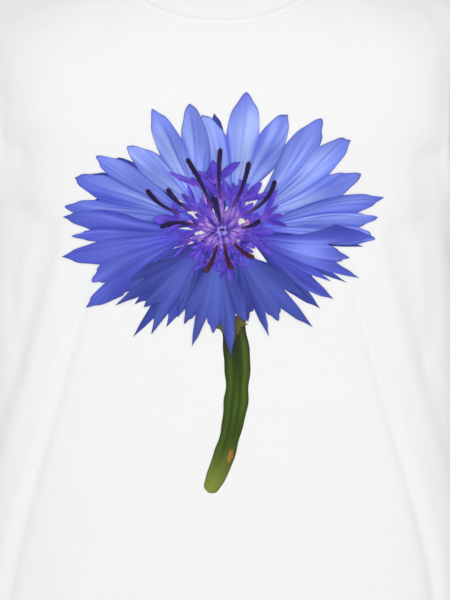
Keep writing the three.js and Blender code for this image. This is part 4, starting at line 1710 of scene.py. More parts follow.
@dataclass(frozen=True)
class Floret:
    """A trumpet-shaped floret laid open: rays that leave a narrow throat and end in pointed lobes.

    Fields:
        throat: where the rays leave, from the flower's middle.
        tips: each lobe's heading in degrees and its reach, both from the flower's middle, in turn.
        tone: its colours.
        layer: how many films lie under it.
        seed: which streaks it has.
        notch: how far out the notches between lobes lie, as a share of the lobes' length.
        margin: the angle in degrees between an outer lobe's tip and the floret's side.
        bend: the angle in degrees by which the rays have turned at their ends.
        shaded: how strongly the first and the last side lie in a neighbour's shade.
        glow: a soft light patch, as its place across from -1 to 1, its place along, its size and strength.
        detail: how many points lie between a notch and a tip.
        spike: how far the lobes narrow like thorns, from 0 to 1.
    """

    throat: tuple[float, float]
    tips: tuple[tuple[float, float], ...]
    tone: Tone
    layer: float
    seed: int
    notch: float = 0.66
    margin: float = 9.0
    bend: float = 0.0
    shaded: tuple[float, float] = (0.0, 0.0)
    glow: tuple[float, float, float, float] = (0.0, 0.0, 1.0, 0.0)
    detail: int = 10
    spike: float = 0.0

    def rays(self) -> tuple[Array, Array, Array]:
        """Returns each ray's angle, its length, and its place in its lobe from -1 to 1."""
        rng = np.random.default_rng(self.seed)
        ends = np.array(
            [(r * math.cos(math.radians(a)), r * math.sin(math.radians(a))) for a, r in self.tips]
        )
        ways = ends - np.array(self.throat)
        angles = np.unwrap(np.arctan2(ways[:, 1], ways[:, 0]))
        lengths = np.hypot(ways[:, 0], ways[:, 1])
        turn = 1.0 if len(angles) < 2 or angles[-1] > angles[0] else -1.0
        between = (angles[1:] + angles[:-1]) / 2 + turn * rng.uniform(-0.02, 0.02, len(angles) - 1)
        rim = math.radians(self.margin) * turn
        borders = np.concatenate([[angles[0] - rim], between, [angles[-1] + rim]])
        uneven = rng.uniform(0.92 - 0.05 * self.spike, 1.06, len(angles) - 1)
        depths = self.notch * np.minimum(lengths[1:], lengths[:-1]) * uneven
        outer = self.notch - 0.14
        depths = np.concatenate([[outer * lengths[0]], depths, [outer * lengths[-1]]])
        share = np.linspace(0, 1, self.detail + 1)
        found: list[tuple[float, float, float]] = []
        for lobe, (angle, length) in enumerate(zip(angles, lengths)):
            for side, border in ((-1, lobe), (1, lobe + 1)):
                steps = share[:0:-1] if side < 0 else share[1:]
                straight = lerp(rng.uniform(0.50, 0.95), 1.0, self.spike)
                for t in steps:
                    narrowed = straight * t ** lerp(1.12, 0.80, self.spike) + (1 - straight) * t**2.8
                    ripple = 1 + 0.014 * math.sin(9 * t + 3 * lobe + self.seed) * t * (1 - t) * 4
                    reach = lerp(length, depths[border], narrowed) * ripple
                    found.append((lerp(angle, borders[border], t), reach, side * t))
                if side < 0:
                    found.append((angle, length, 0.0))
        kept = [
            ray for place, ray in enumerate(found) if place == 0 or abs(ray[0] - found[place - 1][0]) > 1e-6
        ]
        return tuple(np.array(part) for part in zip(*kept))

    def film(self) -> Film:
        """Returns the floret as a film of ink."""
        angle, length, place = self.rays()
        near_end = np.array([0.03, 0.016, 0.007, 0.0])
        along = np.concatenate([np.linspace(0.0, 0.955, 24), 1 - near_end])
        r = np.broadcast_to(along[:, None], (len(along), len(angle)))
        middle = (angle[0] + angle[-1]) / 2
        half = (angle[-1] - angle[0]) / 2
        u = np.broadcast_to(((angle - middle) / half)[None, :], r.shape)
        t = np.broadcast_to(place[None, :], r.shape)
        flare = 1 - 0.42 * (1 - r) ** 1.6
        swerve = 0.022 * np.sin(5.5 * r + 1.3 * self.seed) * r * (1 + 0.6 * np.sin(2.5 * u + self.seed))
        heading = middle + (angle[None, :] - middle) * flare + math.radians(self.bend) * r * r + swerve
        reach = r * length[None, :]
        side = np.array([-math.sin(middle), math.cos(middle)]) * math.copysign(1.0, half)
        flat = np.stack([reach * np.cos(heading), reach * np.sin(heading)], axis=-1) + np.array(self.throat)
        flat = flat + side * (0.0026 * u * (1 - r))[..., None]
        streak = np.stack([0.3 * self.seed + angle[None, :] * 0.085 + 0 * r, reach], axis=-1)
        return Film(flat, self.colours(u, r, t, reach, abs(half), length), streak, self.layer)

    def colours(self, u: Array, r: Array, t: Array, reach: Array, half: float, length: Array) -> Array:
        """Returns display colours over the floret.

        Args:
            u: the place across the floret, from -1 to 1.
            r: the share of the way along each ray.
            t: the place across the lobe, from -1 to 1.
            reach: the distance from the throat.
            half: half the floret's angle.
            length: each ray's length.
        """
        rng = np.random.default_rng(self.seed + 500)
        tone, contrast = self.tone, self.tone.contrast
        far = reach / np.max(length)
        colour = lerp(tone.root, tone.middle, smoothstep(far, 0.05, 0.38)[..., None])
        colour = lerp(colour, tone.tip, (smoothstep(far, 0.62, 1.0) * 0.9)[..., None])
        lobes = len(self.tips)
        lean = rng.uniform(-0.35, 0.35)
        for lobe in range(lobes):
            mine = (np.floor((np.cumsum(np.r_[0, (np.diff(t[0]) < -0.5)])))[None, :] == lobe) * 1.0
            bright = rng.uniform(0.35, 1.0)
            satin = bell(t - lean - rng.uniform(-0.2, 0.2), 0.42) * smoothstep(far, 0.2, 0.5)
            satin = satin * (1 - smoothstep(far, 0.78, 1.0)) * mine * bright
            colour = lerp(colour, tone.gleam, (satin * 0.62 * contrast)[..., None])
            shadow = bell(t + 0.75 * np.sign(lean + 1e-6), 0.40) * smoothstep(far, 0.25, 0.6) * mine
            colour = lerp(colour, tone.fold, (shadow * rng.uniform(0.1, 0.4) * contrast)[..., None])
        notch = bell(1 - np.abs(t), 0.17) * (np.abs(u) < 0.97) * smoothstep(r, 0.12, 0.45)
        colour = lerp(colour, tone.fold, (notch * 0.66 * contrast)[..., None])
        rib = bell(t - 0.04, 0.07) * smoothstep(r, 0.25, 0.5) * (1 - smoothstep(r, 0.85, 0.99))
        colour = lerp(colour, tone.fold, (rib * 0.30 * contrast)[..., None])
        for streak in range(tone.streaks):
            middle, width = rng.uniform(-1, 1), rng.uniform(0.012, 0.05)
            start, end = rng.uniform(-0.1, 0.55), rng.uniform(0.5, 1.05)
            lit = streak % 2 == 0
            window = smoothstep(far, start, start + 0.2)
            window = window * (1 - smoothstep(far, end - 0.2, max(end, start + 0.25)))
            line = bell(u - middle + 0.03 * np.sin(4 * far + streak), width) * window * rng.uniform(0.35, 0.9)
            colour = lerp(colour, tone.gleam if lit else tone.fold, (line * 0.7 * contrast)[..., None])
        cloud = np.cos(7.1 * far + 2.7 * u + rng.uniform(0, 6.28))
        cloud = cloud * np.cos(4.3 * u - 3.0 * far + rng.uniform(0, 6.28))
        colour = colour * (1 + 0.08 * cloud)[..., None]
        for _ in range(3):
            at_u, at_far = rng.uniform(-0.9, 0.9), rng.uniform(0.3, 0.85)
            wide, deep = rng.uniform(0.1, 0.3), 0.16
            blot = np.exp(-np.square((u - at_u) / wide) - np.square((far - at_far) / deep))
            blot = blot * rng.uniform(0.2, 0.5)
            colour = lerp(colour, tone.fold, (blot * contrast)[..., None])
        root_veins = np.maximum(np.cos(u * rng.uniform(17, 23) + rng.uniform(0, 6.28)), 0) ** 3
        root_veins = root_veins * smoothstep(far, 0.10, 0.22) * (1 - smoothstep(far, 0.34, 0.62))
        colour = lerp(colour, tone.fold, (root_veins * 0.5 * contrast)[..., None])
        for end, strength in ((-1, self.shaded[0]), (1, self.shaded[1])):
            cover = smoothstep(u * end, 0.15, 1.0) * strength * (1 - 0.5 * smoothstep(far, 0.6, 1.0))
            colour = lerp(colour, tone.fold * 0.92, cover[..., None])
        across, along, size, strength = self.glow
        patch = np.exp(-((u - across) / (2.2 * size)) ** 2 - ((far - along) / size) ** 2) * strength
        colour = lerp(colour, tone.gleam, patch[..., None])
        rim = np.minimum((1 - r) * length[None, :] * 0.62, reach * (1 - np.abs(u)) * half)
        line = (1 - smoothstep(rim, 0.0003, 0.0015)) * tone.edge_line * smoothstep(far, 0.25, 0.45)
        return np.clip(lerp(colour, tone.edge, line[..., None]), 0, 1)


@dataclass
class FlowerPrint:
    """The cornflower transfer: films of ink that lie on the front and follow its cloth."""

    drape: Drape
    middle: tuple[float, float] = (0.001, -0.262)
    first_gap: float = 0.00016
    film_step: float = 0.000035
    film: float = 0.00003

    def petal_tones(self) -> dict[str, Tone]:
        """Returns the colours of the outer florets, from the lit back ones to the dim front ones."""
        edge = shade(66, 74, 140)
        return {
            "lit": Tone(shade(102, 106, 228), shade(156, 176, 251), shade(111, 126, 232), edge,
                        shade(192, 208, 255), shade(77, 92, 204), 26, 1.0, 0.55),
            "side": Tone(shade(86, 86, 216), shade(130, 149, 239), shade(96, 110, 221), edge,
                         shade(168, 186, 252), shade(60, 70, 182), 26, 1.0, 0.55),
            "near": Tone(shade(84, 72, 204), shade(88, 96, 210), shade(84, 98, 200), edge,
                         shade(136, 154, 246), shade(50, 54, 158), 22, 0.95, 0.5),
            "dim": Tone(shade(86, 82, 212), shade(64, 74, 164), shade(72, 88, 170), shade(52, 60, 116),
                        shade(94, 112, 204), shade(40, 46, 122), 16, 0.80, 0.45),
            "deep": Tone(shade(54, 52, 150), shade(58, 72, 166), shade(60, 76, 168), shade(42, 50, 110),
                         shade(92, 110, 206), shade(34, 40, 112), 12, 0.9, 0.45),
        }

    def petals(self, rank: Rank) -> list[Film]:
        """Returns the outer florets of one rank, the hindmost first."""
        tones = self.petal_tones()
        lit, side, near, dim, deep = (tones[key] for key in ("lit", "side", "near", "dim", "deep"))
        back = [
            # Dark ones that show through between the others.
            Floret((-0.002, 0.010), ((106, 0.096), (93, 0.112), (80, 0.092)), deep, 2, 1, 0.8, 12),
            Floret(
                (0.020, 0.000),
                ((2, 0.120), (-8, 0.135), (-15, 0.114), (-24, 0.129), (-31, 0.108), (-39, 0.119)), deep,
                3, 2, 0.80, spike=0.8,
            ),
            Floret(
                (-0.012, -0.008),
                ((203, 0.108), (211, 0.125), (220, 0.109), (230, 0.132), (240, 0.106)), deep, 4, 3,
                0.80, spike=0.8,
            ),
            Floret(
                (-0.022, 0.006), ((180, 0.120), (171, 0.136), (157, 0.136), (146, 0.122)), deep, 5, 4,
                0.78,
            ),
            Floret(
                (0.000, -0.008), ((228, 0.070), (247, 0.082), (268, 0.080), (291, 0.082), (314, 0.070)),
                deep, 6, 15, 0.92, 14.0,
            ),
            # The upper ones stand up behind the middle and catch the light.
            Floret(
                (0.010, 0.013), ((99, 0.112), (79, 0.134), (60, 0.127)), lit, 7, 5, 0.77, 11.5, 1.5,
                (0.25, 0.1),
            ),
            Floret((-0.013, 0.013), ((140, 0.121), (121, 0.134), (105, 0.125)), lit, 9, 6, 0.74, 11.0, -2.0,
                   (0.1, 0.35)),
            Floret(
                (0.022, 0.009), ((47, 0.143), (33, 0.150), (20, 0.143)), lit, 11, 7, 0.80, 9.5, 1.0,
                (0.35, 0.1),
            ),
            Floret((-0.024, 0.007), ((169, 0.152), (158, 0.149), (147, 0.139)), side, 13, 8, 0.79, 9.0, 3.0,
                   (0.3, 0.2)),
            Floret(
                (0.028, 0.003), ((15, 0.157), (8, 0.149), (-1, 0.146)), side, 15, 9, 0.84, 6.5, -2.0,
                (0.3, 0.1), spike=0.3,
            ),
        ]
        front = [
            # The lower ones come forwards and hang.
            Floret(
                (-0.026, -0.002),
                ((173, 0.152), (180, 0.143), (187, 0.154), (199, 0.134), (207, 0.150)), near, 18, 10,
                0.86, 7.0, 3.0, (0.1, 0.35), (0.1, 0.62, 0.20, 0.35), spike=0.35,
            ),
            Floret(
                (0.024, -0.006), ((-5, 0.145), (-14, 0.124), (-21, 0.138), (-27, 0.114), (-34, 0.124)),
                near, 21, 11, 0.84, 8.0, 2.0, (0.0, 0.4), (-0.30, 0.48, 0.18, 0.9), spike=0.7,
            ),
            Floret(
                (-0.016, -0.012),
                ((211, 0.100), (218, 0.124), (227, 0.104), (238, 0.119), (245, 0.092)), dim, 23, 12,
                0.84, 7.0, -4.0, (0.45, 0.1), (0.1, 0.38, 0.26, 0.60), spike=0.7,
            ),
            Floret(
                (0.014, -0.014), ((-41, 0.100), (-49, 0.126), (-60, 0.101), (-68, 0.110), (-76, 0.090)),
                dim, 25, 13, 0.84, 7.0, 3.0, (0.1, 0.45), (-0.2, 0.40, 0.28, 0.55), spike=0.7,
            ),
            Floret(
                (-0.003, -0.016),
                ((247, 0.096), (255, 0.114), (265, 0.098), (274, 0.120), (284, 0.090)), dim, 28, 14,
                0.84, 8.0, 2.0, (0.35, 0.1), (-0.2, 0.34, 0.34, 0.75), spike=0.7,
            ),
        ]
        chosen = back if rank is Rank.BACK else front
        return [self.shifted(floret.film()) for floret in chosen]

    def shifted(self, film: Film) -> Film:
        """Returns a film that was laid out from the flower's middle in its place on the shirt."""
        return Film(film.flat + np.array(self.middle), film.colour, film.streak, film.layer)

    def heart(self) -> list[Film]:
        """Returns the small inner florets, their pale tubes, and the dark rods that stand out of them."""
        violet = Tone(shade(116, 76, 194), shade(84, 61, 198), shade(92, 84, 224), shade(58, 42, 148),
                      shade(146, 124, 238), shade(58, 36, 150), 8, 1.0, 0.35)
        pale = Tone(shade(84, 56, 168), shade(142, 104, 204), shade(118, 84, 208), shade(84, 56, 170),
                    shade(218, 190, 236), shade(76, 50, 160), 5, 1.0, 0.4)
        ground = Tone(shade(70, 44, 150), shade(84, 58, 186), shade(78, 66, 200), shade(66, 46, 160),
                      shade(128, 100, 220), shade(48, 30, 112), 24, 1.0, 0.1)
        made: list[Film] = [
            Floret(
                (0.0, 0.0),
                tuple((start + 36 * step, 0.021 + 0.006 * math.sin(5 * step + start)) for step in range(6)),
                ground, 38.0 + 0.5 * layer, 40 + layer, 0.70, 20.0,
            ).film()
            for layer, start in enumerate((-12, 168))
        ]
        rng = np.random.default_rng(77)
        rings = ((15, 0.018, 0.013, 0.031, 0.050, 40.0), (13, 0.010, 0.008, 0.020, 0.037, 43.0))
        for ring, (count, wide, high, throat_at, reach, layer) in enumerate(rings):
            turns = [
                2 * math.pi * (index + 0.5 * ring + rng.uniform(-0.25, 0.25)) / count
                for index in range(count)
            ]
            turns.sort(key=lambda turn: -math.sin(turn))
            for index, turn in enumerate(turns):
                lift = 1.0 + 0.22 * math.sin(turn)
                size = rng.uniform(0.85, 1.2) * lift
                foot = (wide * math.cos(turn) * 0.6, high * math.sin(turn) * 0.6)
                lean = math.degrees(turn) + rng.uniform(-8, 8)
                throat = self.polar(lean, throat_at * size)
                seed = 100 * ring + index
                made.append(Stroke(foot, throat, rng.uniform(-0.1, 0.1), 0.0026, Outline.SLIVER, pale,
                                   layer + 0.7, 500 + seed, 0.45, 0.75, 7, 12).film())
                lobes = 4 if index % 3 else 3
                open_out = rng.uniform(20, 30) if ring == 0 else rng.uniform(26, 40)
                tips = tuple(
                    (lean + open_out * (lobe / (lobes - 1) - 0.5) * 1.5 + rng.uniform(-3, 3),
                     reach * size * rng.uniform(0.82, 1.12))
                    for lobe in range(lobes)
                )
                made.append(Floret(
                    throat, tips, violet, layer + 1 + 0.4 * (index % 2), 300 + seed, 0.42, 10.0,
                    rng.uniform(-8, 8), detail=3,
                ).film())
        made.extend(self.rods())
        made.extend(self.curl())
        return [self.shifted(film) for film in made]

    def rods(self) -> list[Film]:
        """Returns the dark rods, which stand out of the inner florets and curve outwards."""
        dark = Tone(shade(104, 62, 150), shade(42, 24, 76), shade(34, 20, 56), shade(24, 16, 46),
                    shade(92, 70, 138), shade(22, 12, 40), 2, 0.7, 0.45)
        brown = Tone(shade(84, 36, 74), shade(58, 22, 44), shade(84, 52, 48), shade(34, 12, 30),
                     shade(140, 96, 90), shade(30, 10, 26), 2, 0.7, 0.45)
        rods = (
            (151, 0.044, 0.082, 0.10, dark),
            (142, 0.036, 0.066, 0.08, dark),
            (116, 0.022, 0.077, -0.03, dark),
            (91, 0.030, 0.079, 0.03, dark),
            (69, 0.024, 0.071, -0.05, dark),
            (44, 0.028, 0.070, -0.13, dark),
            (177, 0.024, 0.059, -0.12, dark),
            (106, 0.004, 0.034, -0.05, dark),
            (16, 0.018, 0.038, -0.10, dark),
            (248, 0.014, 0.043, 0.05, brown),
            (284, 0.012, 0.038, -0.05, brown),
            (320, 0.016, 0.040, -0.08, brown),
        )
        return [
            Stroke(self.polar(heading + 6 * bow * 10, start), self.polar(heading, end), bow,
                   0.0022, Outline.ROD, tone, 50 + index % 2, 900 + index, columns=8, rows=26).film()
            for index, (heading, start, end, bow, tone) in enumerate(rods)
        ]

    def curl(self) -> list[Film]:
        """Returns the pale closed florets in the very middle, with a dark and an orange speck."""
        pale = Tone(shade(118, 100, 208), shade(158, 146, 230), shade(104, 90, 214), shade(76, 62, 170),
                    shade(222, 220, 252), shade(90, 80, 190), 2, 0.9, 0.4)
        ink = Tone(shade(46, 36, 92), shade(38, 28, 80), shade(46, 36, 92), shade(38, 30, 80),
                   shade(60, 48, 110), shade(30, 24, 66), 2, 0.5, 0.2)
        orange = Tone(shade(224, 130, 70), shade(232, 148, 84), shade(216, 120, 70), shade(190, 100, 80),
                      shade(246, 190, 140), shade(190, 90, 60), 2, 0.5, 0.2)
        made = []
        for index in range(7):
            turn = 360 * index / 7 + 12 + 14 * math.sin(3.3 * index)
            made.append(Stroke(
                self.polar(turn, 0.0030), self.polar(turn + 75, 0.0062 + 0.0006 * (index % 4)), 0.25,
                0.0020, Outline.SLIVER, pale, 53 + 0.3 * (index % 3), 960 + index, 0.6, 0.5,
            ).film())
        made.append(Stroke(
            (-0.0022, -0.0003), (0.0020, 0.0006), 0.2, 0.0013, Outline.ROD, ink, 55, 970,
        ).film())
        made.append(Stroke(
            (0.0225, 0.0085), (0.0250, 0.0100), 0.0, 0.0014, Outline.ROD, orange, 55, 971,
        ).film())
        return made

    @staticmethod
    def polar(heading: float, reach: float) -> tuple[float, float]:
        """Returns the point at a heading in degrees and a reach from the flower's middle."""
        return (reach * math.cos(math.radians(heading)), reach * math.sin(math.radians(heading)))

    def stalk(self) -> list[Film]:
        """Returns the stem and the cup under the flower."""
        green = Tone(shade(36, 44, 20), shade(54, 74, 20), shade(134, 146, 66), shade(38, 54, 22),
                     shade(98, 126, 48), shade(28, 48, 12), 5, 0.9, 0.7)
        cup = Tone(shade(88, 70, 50), shade(84, 84, 36), shade(60, 74, 26), shade(48, 44, 26),
                   shade(136, 120, 60), shade(58, 40, 28), 5, 0.8, 0.6)
        rust = Tone(shade(150, 104, 50), shade(168, 112, 56), shade(140, 110, 50), shade(110, 90, 44),
                    shade(190, 150, 90), shade(120, 76, 36), 2, 0.5, 0.3)
        return [
            Stroke((0.010, -0.345), (-0.012, -0.511), 0.088, 0.0122, Outline.STEM, green, 0, 41, columns=22,
                   rows=110).film(),
            Stroke((0.009, -0.343), (0.0105, -0.368), 0.0, 0.0128, Outline.SLIVER, cup, 1, 42, 0.9, 0.35, 16,
                   24).film(),
            Stroke(
                (0.0105, -0.470), (0.0065, -0.484), 0.0, 0.0024, Outline.SLIVER, rust, 1.5, 43, 0.5,
                0.5,
            ).film(),
        ]

    def build(self, name: str, films: list[Film]) -> bpy.types.Object:
        """Returns one piece of the print, laid on the draped front."""
        heights, faces, first = [], [], 0
        for film in films:
            rows, columns = film.flat.shape[:2]
            heights.append(np.full(rows * columns, self.first_gap + self.film_step * film.layer))
            starts = np.arange(rows - 1)[:, None] * columns
            corner = first + (starts + np.arange(columns - 1)[None, :]).reshape(-1)
            around = (corner, corner + 1, corner + columns + 1, corner + columns)
            faces.extend(zip(*(part.tolist() for part in around)))
            first += rows * columns
        flat, colour, streak = (
            np.vstack([getattr(film, part).reshape(-1, size) for film in films])
            for part, size in (("flat", 2), ("colour", 3), ("streak", 2))
        )
        across, down = self.drape.at_front(flat[:, 0], flat[:, 1])
        points = self.drape.surface(Face.FRONT, across, down, np.concatenate(heights))
        piece = Workshop.solid(name, points, faces, streak)
        ink = piece.data.color_attributes.new(name=InkFinish.attribute, type="FLOAT_COLOR", domain="POINT")
        linear = to_linear(colour)
        opaque = np.hstack([linear, np.ones((len(linear), 1))])
        ink.data.foreach_set("color", opaque.reshape(-1).astype(np.float32))
        self.turn_forward(piece)
        Workshop.thicken(piece, self.film)
        Workshop.smooth(piece, math.radians(60))
        return piece

    @staticmethod
    def turn_forward(piece: bpy.types.Object) -> None:
        """Turns the faces that look backwards round."""
        Workshop.activate(piece)
        bpy.ops.object.mode_set(mode="EDIT")
        bpy.ops.mesh.select_all(action="DESELECT")
        bpy.ops.object.mode_set(mode="OBJECT")
        normals = np.zeros(len(piece.data.polygons) * 3, np.float32)
        piece.data.polygons.foreach_get("normal", normals)
        back = normals.reshape(-1, 3)[:, 1] > 0
        piece.data.polygons.foreach_set("select", back)
        bpy.ops.object.mode_set(mode="EDIT")
        bpy.ops.mesh.select_mode(type="FACE")
        if back.any():
            bpy.ops.mesh.flip_normals()
        bpy.ops.object.mode_set(mode="OBJECT")


# ---- Camera and studio ----


@dataclass
class Studio:
    """A pale floor, soft light, and a level camera that looks at the chest."""

    distance: float = 12.0
    view_height: float = 0.570
    view_centre: tuple[float, float] = (0.0038, -0.3278)
    sensor: float = 36.0
    floor_drop: float = 0.16
    ambient: float = 0.618
    key_share: float = 0.345
    side_share: float = 0.055
    back_share: float = 0.20
    floor_size: float = 7.0

    def camera(self) -> None:
        """Makes the camera, level and square to the front."""
        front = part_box("front_panel")[0].y
        data = bpy.data.cameras.new("camera")
        data.lens = self.sensor * self.distance / self.view_height
        data.sensor_width = self.sensor
        data.clip_end = 200.0
        camera = bpy.data.objects.new("camera", data)
        camera.location = (self.view_centre[0], front - self.distance, self.view_centre[1])
        camera.rotation_euler = (math.pi / 2, 0, 0)
        bpy.context.scene.collection.objects.link(camera)
        bpy.context.scene.camera = camera

    def floor(self) -> None:
        """Makes the floor, below the hem."""
        Workshop.deselect()
        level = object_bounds()[0].z - self.floor_drop
        bpy.ops.mesh.primitive_plane_add(size=self.floor_size, location=(0, 0, level))
        floor = bpy.context.object
        floor.name = "floor"
        g = Graph("pale_floor")
        grain = g.noise(g.coordinates(Space.OBJECT), 3.0, 3.0)
        Workshop.dress(
            floor,
            g.finish(base_color=g.mix(grain, (0.82, 0.82, 0.82), (0.86, 0.86, 0.86)), roughness=0.9),
        )
        floor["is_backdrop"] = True

    def panel_light(self, name: str, place: Vector, share: float, size: float) -> None:
        """Makes a soft lamp that adds a share of full white to cloth which faces it."""
        aim = Vector((0, 0, -0.3))
        data = bpy.data.lights.new(name, "AREA")
        data.size = size
        data.energy = share * math.pi**2 * (place - aim).length_squared
        lamp = bpy.data.objects.new(name, data)
        lamp.location = place
        lamp.rotation_euler = (aim - place).to_track_quat("-Z", "Y").to_euler()
        bpy.context.scene.collection.objects.link(lamp)

    def surround(self) -> None:
        """Makes the even light that comes from all round, and the white that is seen behind the shirt."""
        world = bpy.data.worlds.new("studio")
        world.use_nodes = True
        bpy.context.scene.world = world
        tree = world.node_tree
        tree.nodes.clear()
        path = tree.nodes.new("ShaderNodeLightPath")
        soft, seen = tree.nodes.new("ShaderNodeBackground"), tree.nodes.new("ShaderNodeBackground")
        soft.inputs["Strength"].default_value = self.ambient
        mix, output = tree.nodes.new("ShaderNodeMixShader"), tree.nodes.new("ShaderNodeOutputWorld")
        for background in (soft, seen):
            background.inputs["Color"].default_value = (1.0, 1.0, 1.0, 1.0)
        tree.links.new(path.outputs["Is Camera Ray"], mix.inputs[0])
        tree.links.new(soft.outputs[0], mix.inputs[1])
        tree.links.new(seen.outputs[0], mix.inputs[2])
        tree.links.new(mix.outputs[0], output.inputs["Surface"])

    def build(self) -> None:
        """Makes camera, floor and light."""
        self.camera()
        self.floor()
        self.surround()
        self.panel_light("key", Vector((0.22, -4.4, 0.35)), self.key_share, 2.2)
        self.panel_light("left_fill", Vector((3.6, -1.2, 2.2)), self.side_share, 2.4)
        self.panel_light("right_fill", Vector((-3.6, -1.2, 2.2)), self.side_share, 2.4)
        self.panel_light("back_fill", Vector((-1.6, 4.2, 1.8)), self.back_share, 2.4)
        bpy.context.scene.view_settings.view_transform = "Standard"


# ---- The shirt ----


class Tshirt:
    """The whole shirt: builds each piece, dresses it, and ties it to the frame."""

    def __init__(self) -> None:
        """Sets up the forms and the finishes."""
        self.drape = Drape()
        self.sleeves = {side: SleeveDrape(side, self.drape) for side in (1.0, -1.0)}
        self.jersey = JerseyFinish().material()
        self.rib = RibFinish().material()
        self.thread = ThreadFinish().material()
        self.tape = TapeFinish().material()
        self.overlock = OverlockFinish().material()
        self.ink = InkFinish().material()

    def place(self, piece: bpy.types.Object, node: str, material: bpy.types.Material, slot: str) -> None:
        """Dresses a piece, and lets it ride on the frame in place of a node."""
        Workshop.dress(piece, material)
        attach(piece, "root")
        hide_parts(node)
        LOG.info("%s: %d faces, for %s", piece.name, len(piece.data.polygons), node)

    def panels(self) -> None:
        """Builds the front and back panels."""
        front = BodyPanel(Face.FRONT, self.drape)
        back = BodyPanel(Face.BACK, self.drape, neck_columns=30, middle_columns=32, lower_rows=80)
        back.flat, back.flat_area = (0.575, 0.783), 0.409
        for panel in (front, back):
            piece = panel.build()
            self.place(piece, panel.name, self.jersey, "jersey")

    def sleeve_pair(self) -> None:
        """Builds both sleeves."""
        for side, drape in self.sleeves.items():
            sleeve = Sleeve(side, drape)
            piece = sleeve.build()
            self.place(piece, sleeve.name, self.jersey, "jersey")

    def neckband(self) -> None:
        """Builds the rib neckband."""
        band = NeckBand(self.drape)
        piece = band.build()
        self.place(piece, "neck_rib", self.rib, "rib_knit")

    def neck_tracks(self, distance: float, out: float, count: int = 700) -> Track:
        """Returns the line at a distance below the neck seam, all round."""
        turn = NeckBand(self.drape).crowded_turns(count)
        at, _, away = NeckBand(self.drape).frames(turn)
        targets = at + away * distance
        form = self.drape.form
        points, normals = np.empty_like(targets), np.empty_like(targets)
        for face in Face:
            mine = (np.cos(turn) > 0) == (face is Face.FRONT)
            across = form.neck_share * np.sin(turn[mine])
            down = form.top(face, across) + distance / 0.6
            across, down = self.drape.nearest(face, targets[mine], across, down)
            points[mine] = self.drape.surface(face, across, down, out)
            normals[mine] = self.drape.normal(face, across, np.maximum(down, 0.002))
        return Track(points, normals, True)

    def body_track(self, hem_up: float, out: float, count: int = 900) -> Track:
        """Returns the level line at a height above the hem, all round."""
        form = self.drape.form
        down = form.down_at(form.hem_z + hem_up)
        across = np.linspace(-1, 1, count // 2, endpoint=False)
        parts = []
        for face, order in ((Face.FRONT, across), (Face.BACK, -across)):
            level = np.full_like(order, down)
            parts.append((self.drape.surface(face, order, level, out), self.drape.normal(face, order, level)))
        return Track(np.vstack([p for p, _ in parts]), np.vstack([n for _, n in parts]), True)

    def cuff_track(self, side: float, from_edge: float, out: float, count: int = 500) -> Track:
        """Returns the line at a distance from a cuff's edge."""
        drape = self.sleeves[side]
        turn = np.linspace(0, 2 * math.pi, count, endpoint=False)
        along = 1 - from_edge / drape.reach(turn)
        return Track(drape.surface(turn, along, out), drape.normal(turn, along), True)

    def cover_stitching(self) -> None:
        """Builds the twin-needle stitching at the neck, the hem and the cuffs."""
        cloth = BodyPanel.thickness
        near, far = self.drape.needle_rows
        low, high = self.drape.hem_needles
        seams = [
            ("neck_stitches", "neck_stitching", self.neck_tracks, near, far, -cloth),
            ("hem_stitches", "hem_stitching", self.body_track, low, high, -DOUBLED * cloth),
        ]
        for side, word in SIDES:
            edge = partial(self.cuff_track, side)
            seams.append(
                (f"{word}_cuff_stitches", f"{word}_cuff_stitching", edge, low, high, -DOUBLED * cloth)
            )
        for name, node, line, first, second, inside in seams:
            outer = (line(first, 0.0), line(second, 0.0))
            inner = (line(first, inside), line(second, -cloth))
            self.place(CoverStitch(name, outer, inner).build(), node, self.thread, "thread")

    def panel_line(self, face: Face, across: Array, down: Array, out: float) -> Track:
        """Returns an open line on a panel."""
        points = self.drape.surface(face, across, down, out)
        return Track(points, self.drape.normal(face, across, down), False)

    def seam_allowances(self) -> None:
        """Builds the overlocked allowances of the armhole, underarm, side and shoulder seams."""
        cloth = BodyPanel.thickness + 0.0001
        form = self.drape.form
        for side, word in SIDES:
            drape = self.sleeves[side]
            turn = np.linspace(0, 2 * math.pi, 420, endpoint=False)

            def ring(distance: float) -> Track:
                """Returns the line at a distance below the armhole seam, inside the sleeve."""
                along = distance / drape.reach(turn)
                normals = drape.normal(turn, np.maximum(along, 0.01))
                return Track(drape.surface(turn, along, -cloth), normals, True)

            def under(offset: float) -> Track:
                """Returns a line down the sleeve, beside its underarm seam."""
                along = np.linspace(0.08, 0.86, 120)
                under_turn = np.full_like(along, math.pi + offset)
                return Track(drape.surface(under_turn, along, -cloth), drape.normal(under_turn, along), False)

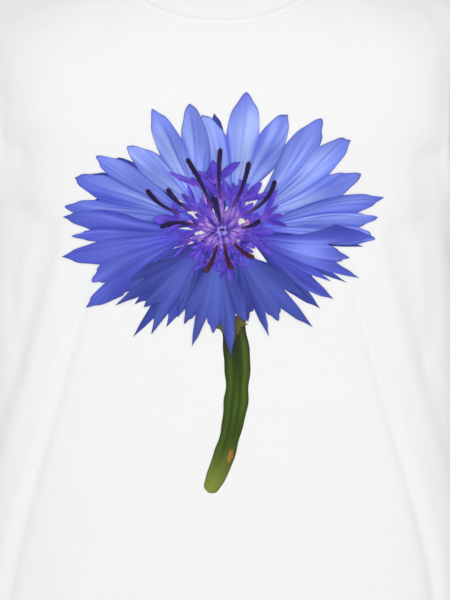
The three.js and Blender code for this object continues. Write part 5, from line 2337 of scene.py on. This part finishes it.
            pieces = {
                f"{word}_armhole_allowance": (f"{word}_armhole_seam", ring(0.0008), ring(0.0078)),
                f"{word}_underarm_allowance": (f"{word}_underarm_seam", under(-0.06), under(0.07)),
            }
            down = np.linspace(form.down_at(form.underarm_z - 0.010), form.down_at(form.hem_z + 0.027), 300)
            edge = 0.0075 / (form.back_depth * math.pi / 2)
            pieces[f"{word}_side_allowance"] = (
                f"{word}_side_seam",
                self.panel_line(Face.BACK, np.full_like(down, side * 0.999), down, -cloth),
                self.panel_line(Face.BACK, np.full_like(down, side * (1 - edge)), down, -cloth),
            )
            across = side * 2 / math.pi * np.arcsin(np.linspace(0.100, 0.222, 160) / form.shoulder_tip)
            low, high = np.full_like(across, 0.0025), np.full_like(across, 0.0150)
            pieces[f"{word}_shoulder_allowance"] = (
                f"{word}_shoulder_seam",
                self.panel_line(Face.BACK, across, low, -cloth),
                self.panel_line(Face.BACK, across, high, -cloth),
            )
            for name, (node, sewn, edge_line) in pieces.items():
                strip = SeamAllowance(name, sewn, edge_line).build()
                self.place(strip, node, self.overlock, "seam_allowance")

    def neck_tape(self) -> None:
        """Builds the tape inside the back of the neck."""
        form = self.drape.form
        x = np.linspace(-0.068, 0.068, 240)
        across = 2 / math.pi * np.arcsin(x / form.shoulder_tip)
        top = form.top(Face.BACK, across)
        start, end, thick, gap = 0.0085, 0.0195, 0.0007, 0.0011
        middle = 0.5 * (start + end)
        section = ((start, 0), (middle, 0), (end, 0), (end, thick), (middle, thick), (start, thick))
        lines = [
            self.panel_line(Face.BACK, across, top + distance / 0.62, -(gap + depth))
            for distance, depth in section
        ]
        rings = np.stack([line.points for line in lines], axis=1)
        over = np.array([0, 0.0055, 0.011, 0.0117, 0.0172, 0.0227])
        cloth = np.stack(np.broadcast_arrays(x[:, None], over[None, :]), axis=-1)
        piece = Workshop.solid("neck_tape_herringbone", rings, swept(rings, False), cloth)
        Workshop.outwards(piece)
        Workshop.smooth(piece)
        self.place(piece, "back_neck_tape", self.tape, "neck_tape")

    def print_flower(self) -> None:
        """Builds the printed cornflower."""
        flower = FlowerPrint(self.drape)
        for name, shapes in (
            ("print_stem", flower.stalk()),
            ("print_back_petals", flower.petals(Rank.BACK)),
            ("print_front_petals", flower.petals(Rank.FRONT)),
            ("print_heart", flower.heart()),
        ):
            self.place(flower.build(name, shapes), "flower_print", self.ink, "print")

    def build(self) -> None:
        """Builds every piece, in order."""
        self.panels()
        self.sleeve_pair()
        self.neckband()
        self.neck_tape()
        self.cover_stitching()
        self.seam_allowances()
        self.print_flower()


def corners(box: tuple[Vector, Vector]) -> list[list[float]]:
    """Returns a box's two corners as plain numbers."""
    return [list(corner) for corner in box]


def main() -> None:
    """Builds the scene."""
    logging.basicConfig(level=logging.INFO, format="%(name)s: %(message)s")
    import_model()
    Studio().build()
    Tshirt().build()


if __name__ == "__main__":
    main()
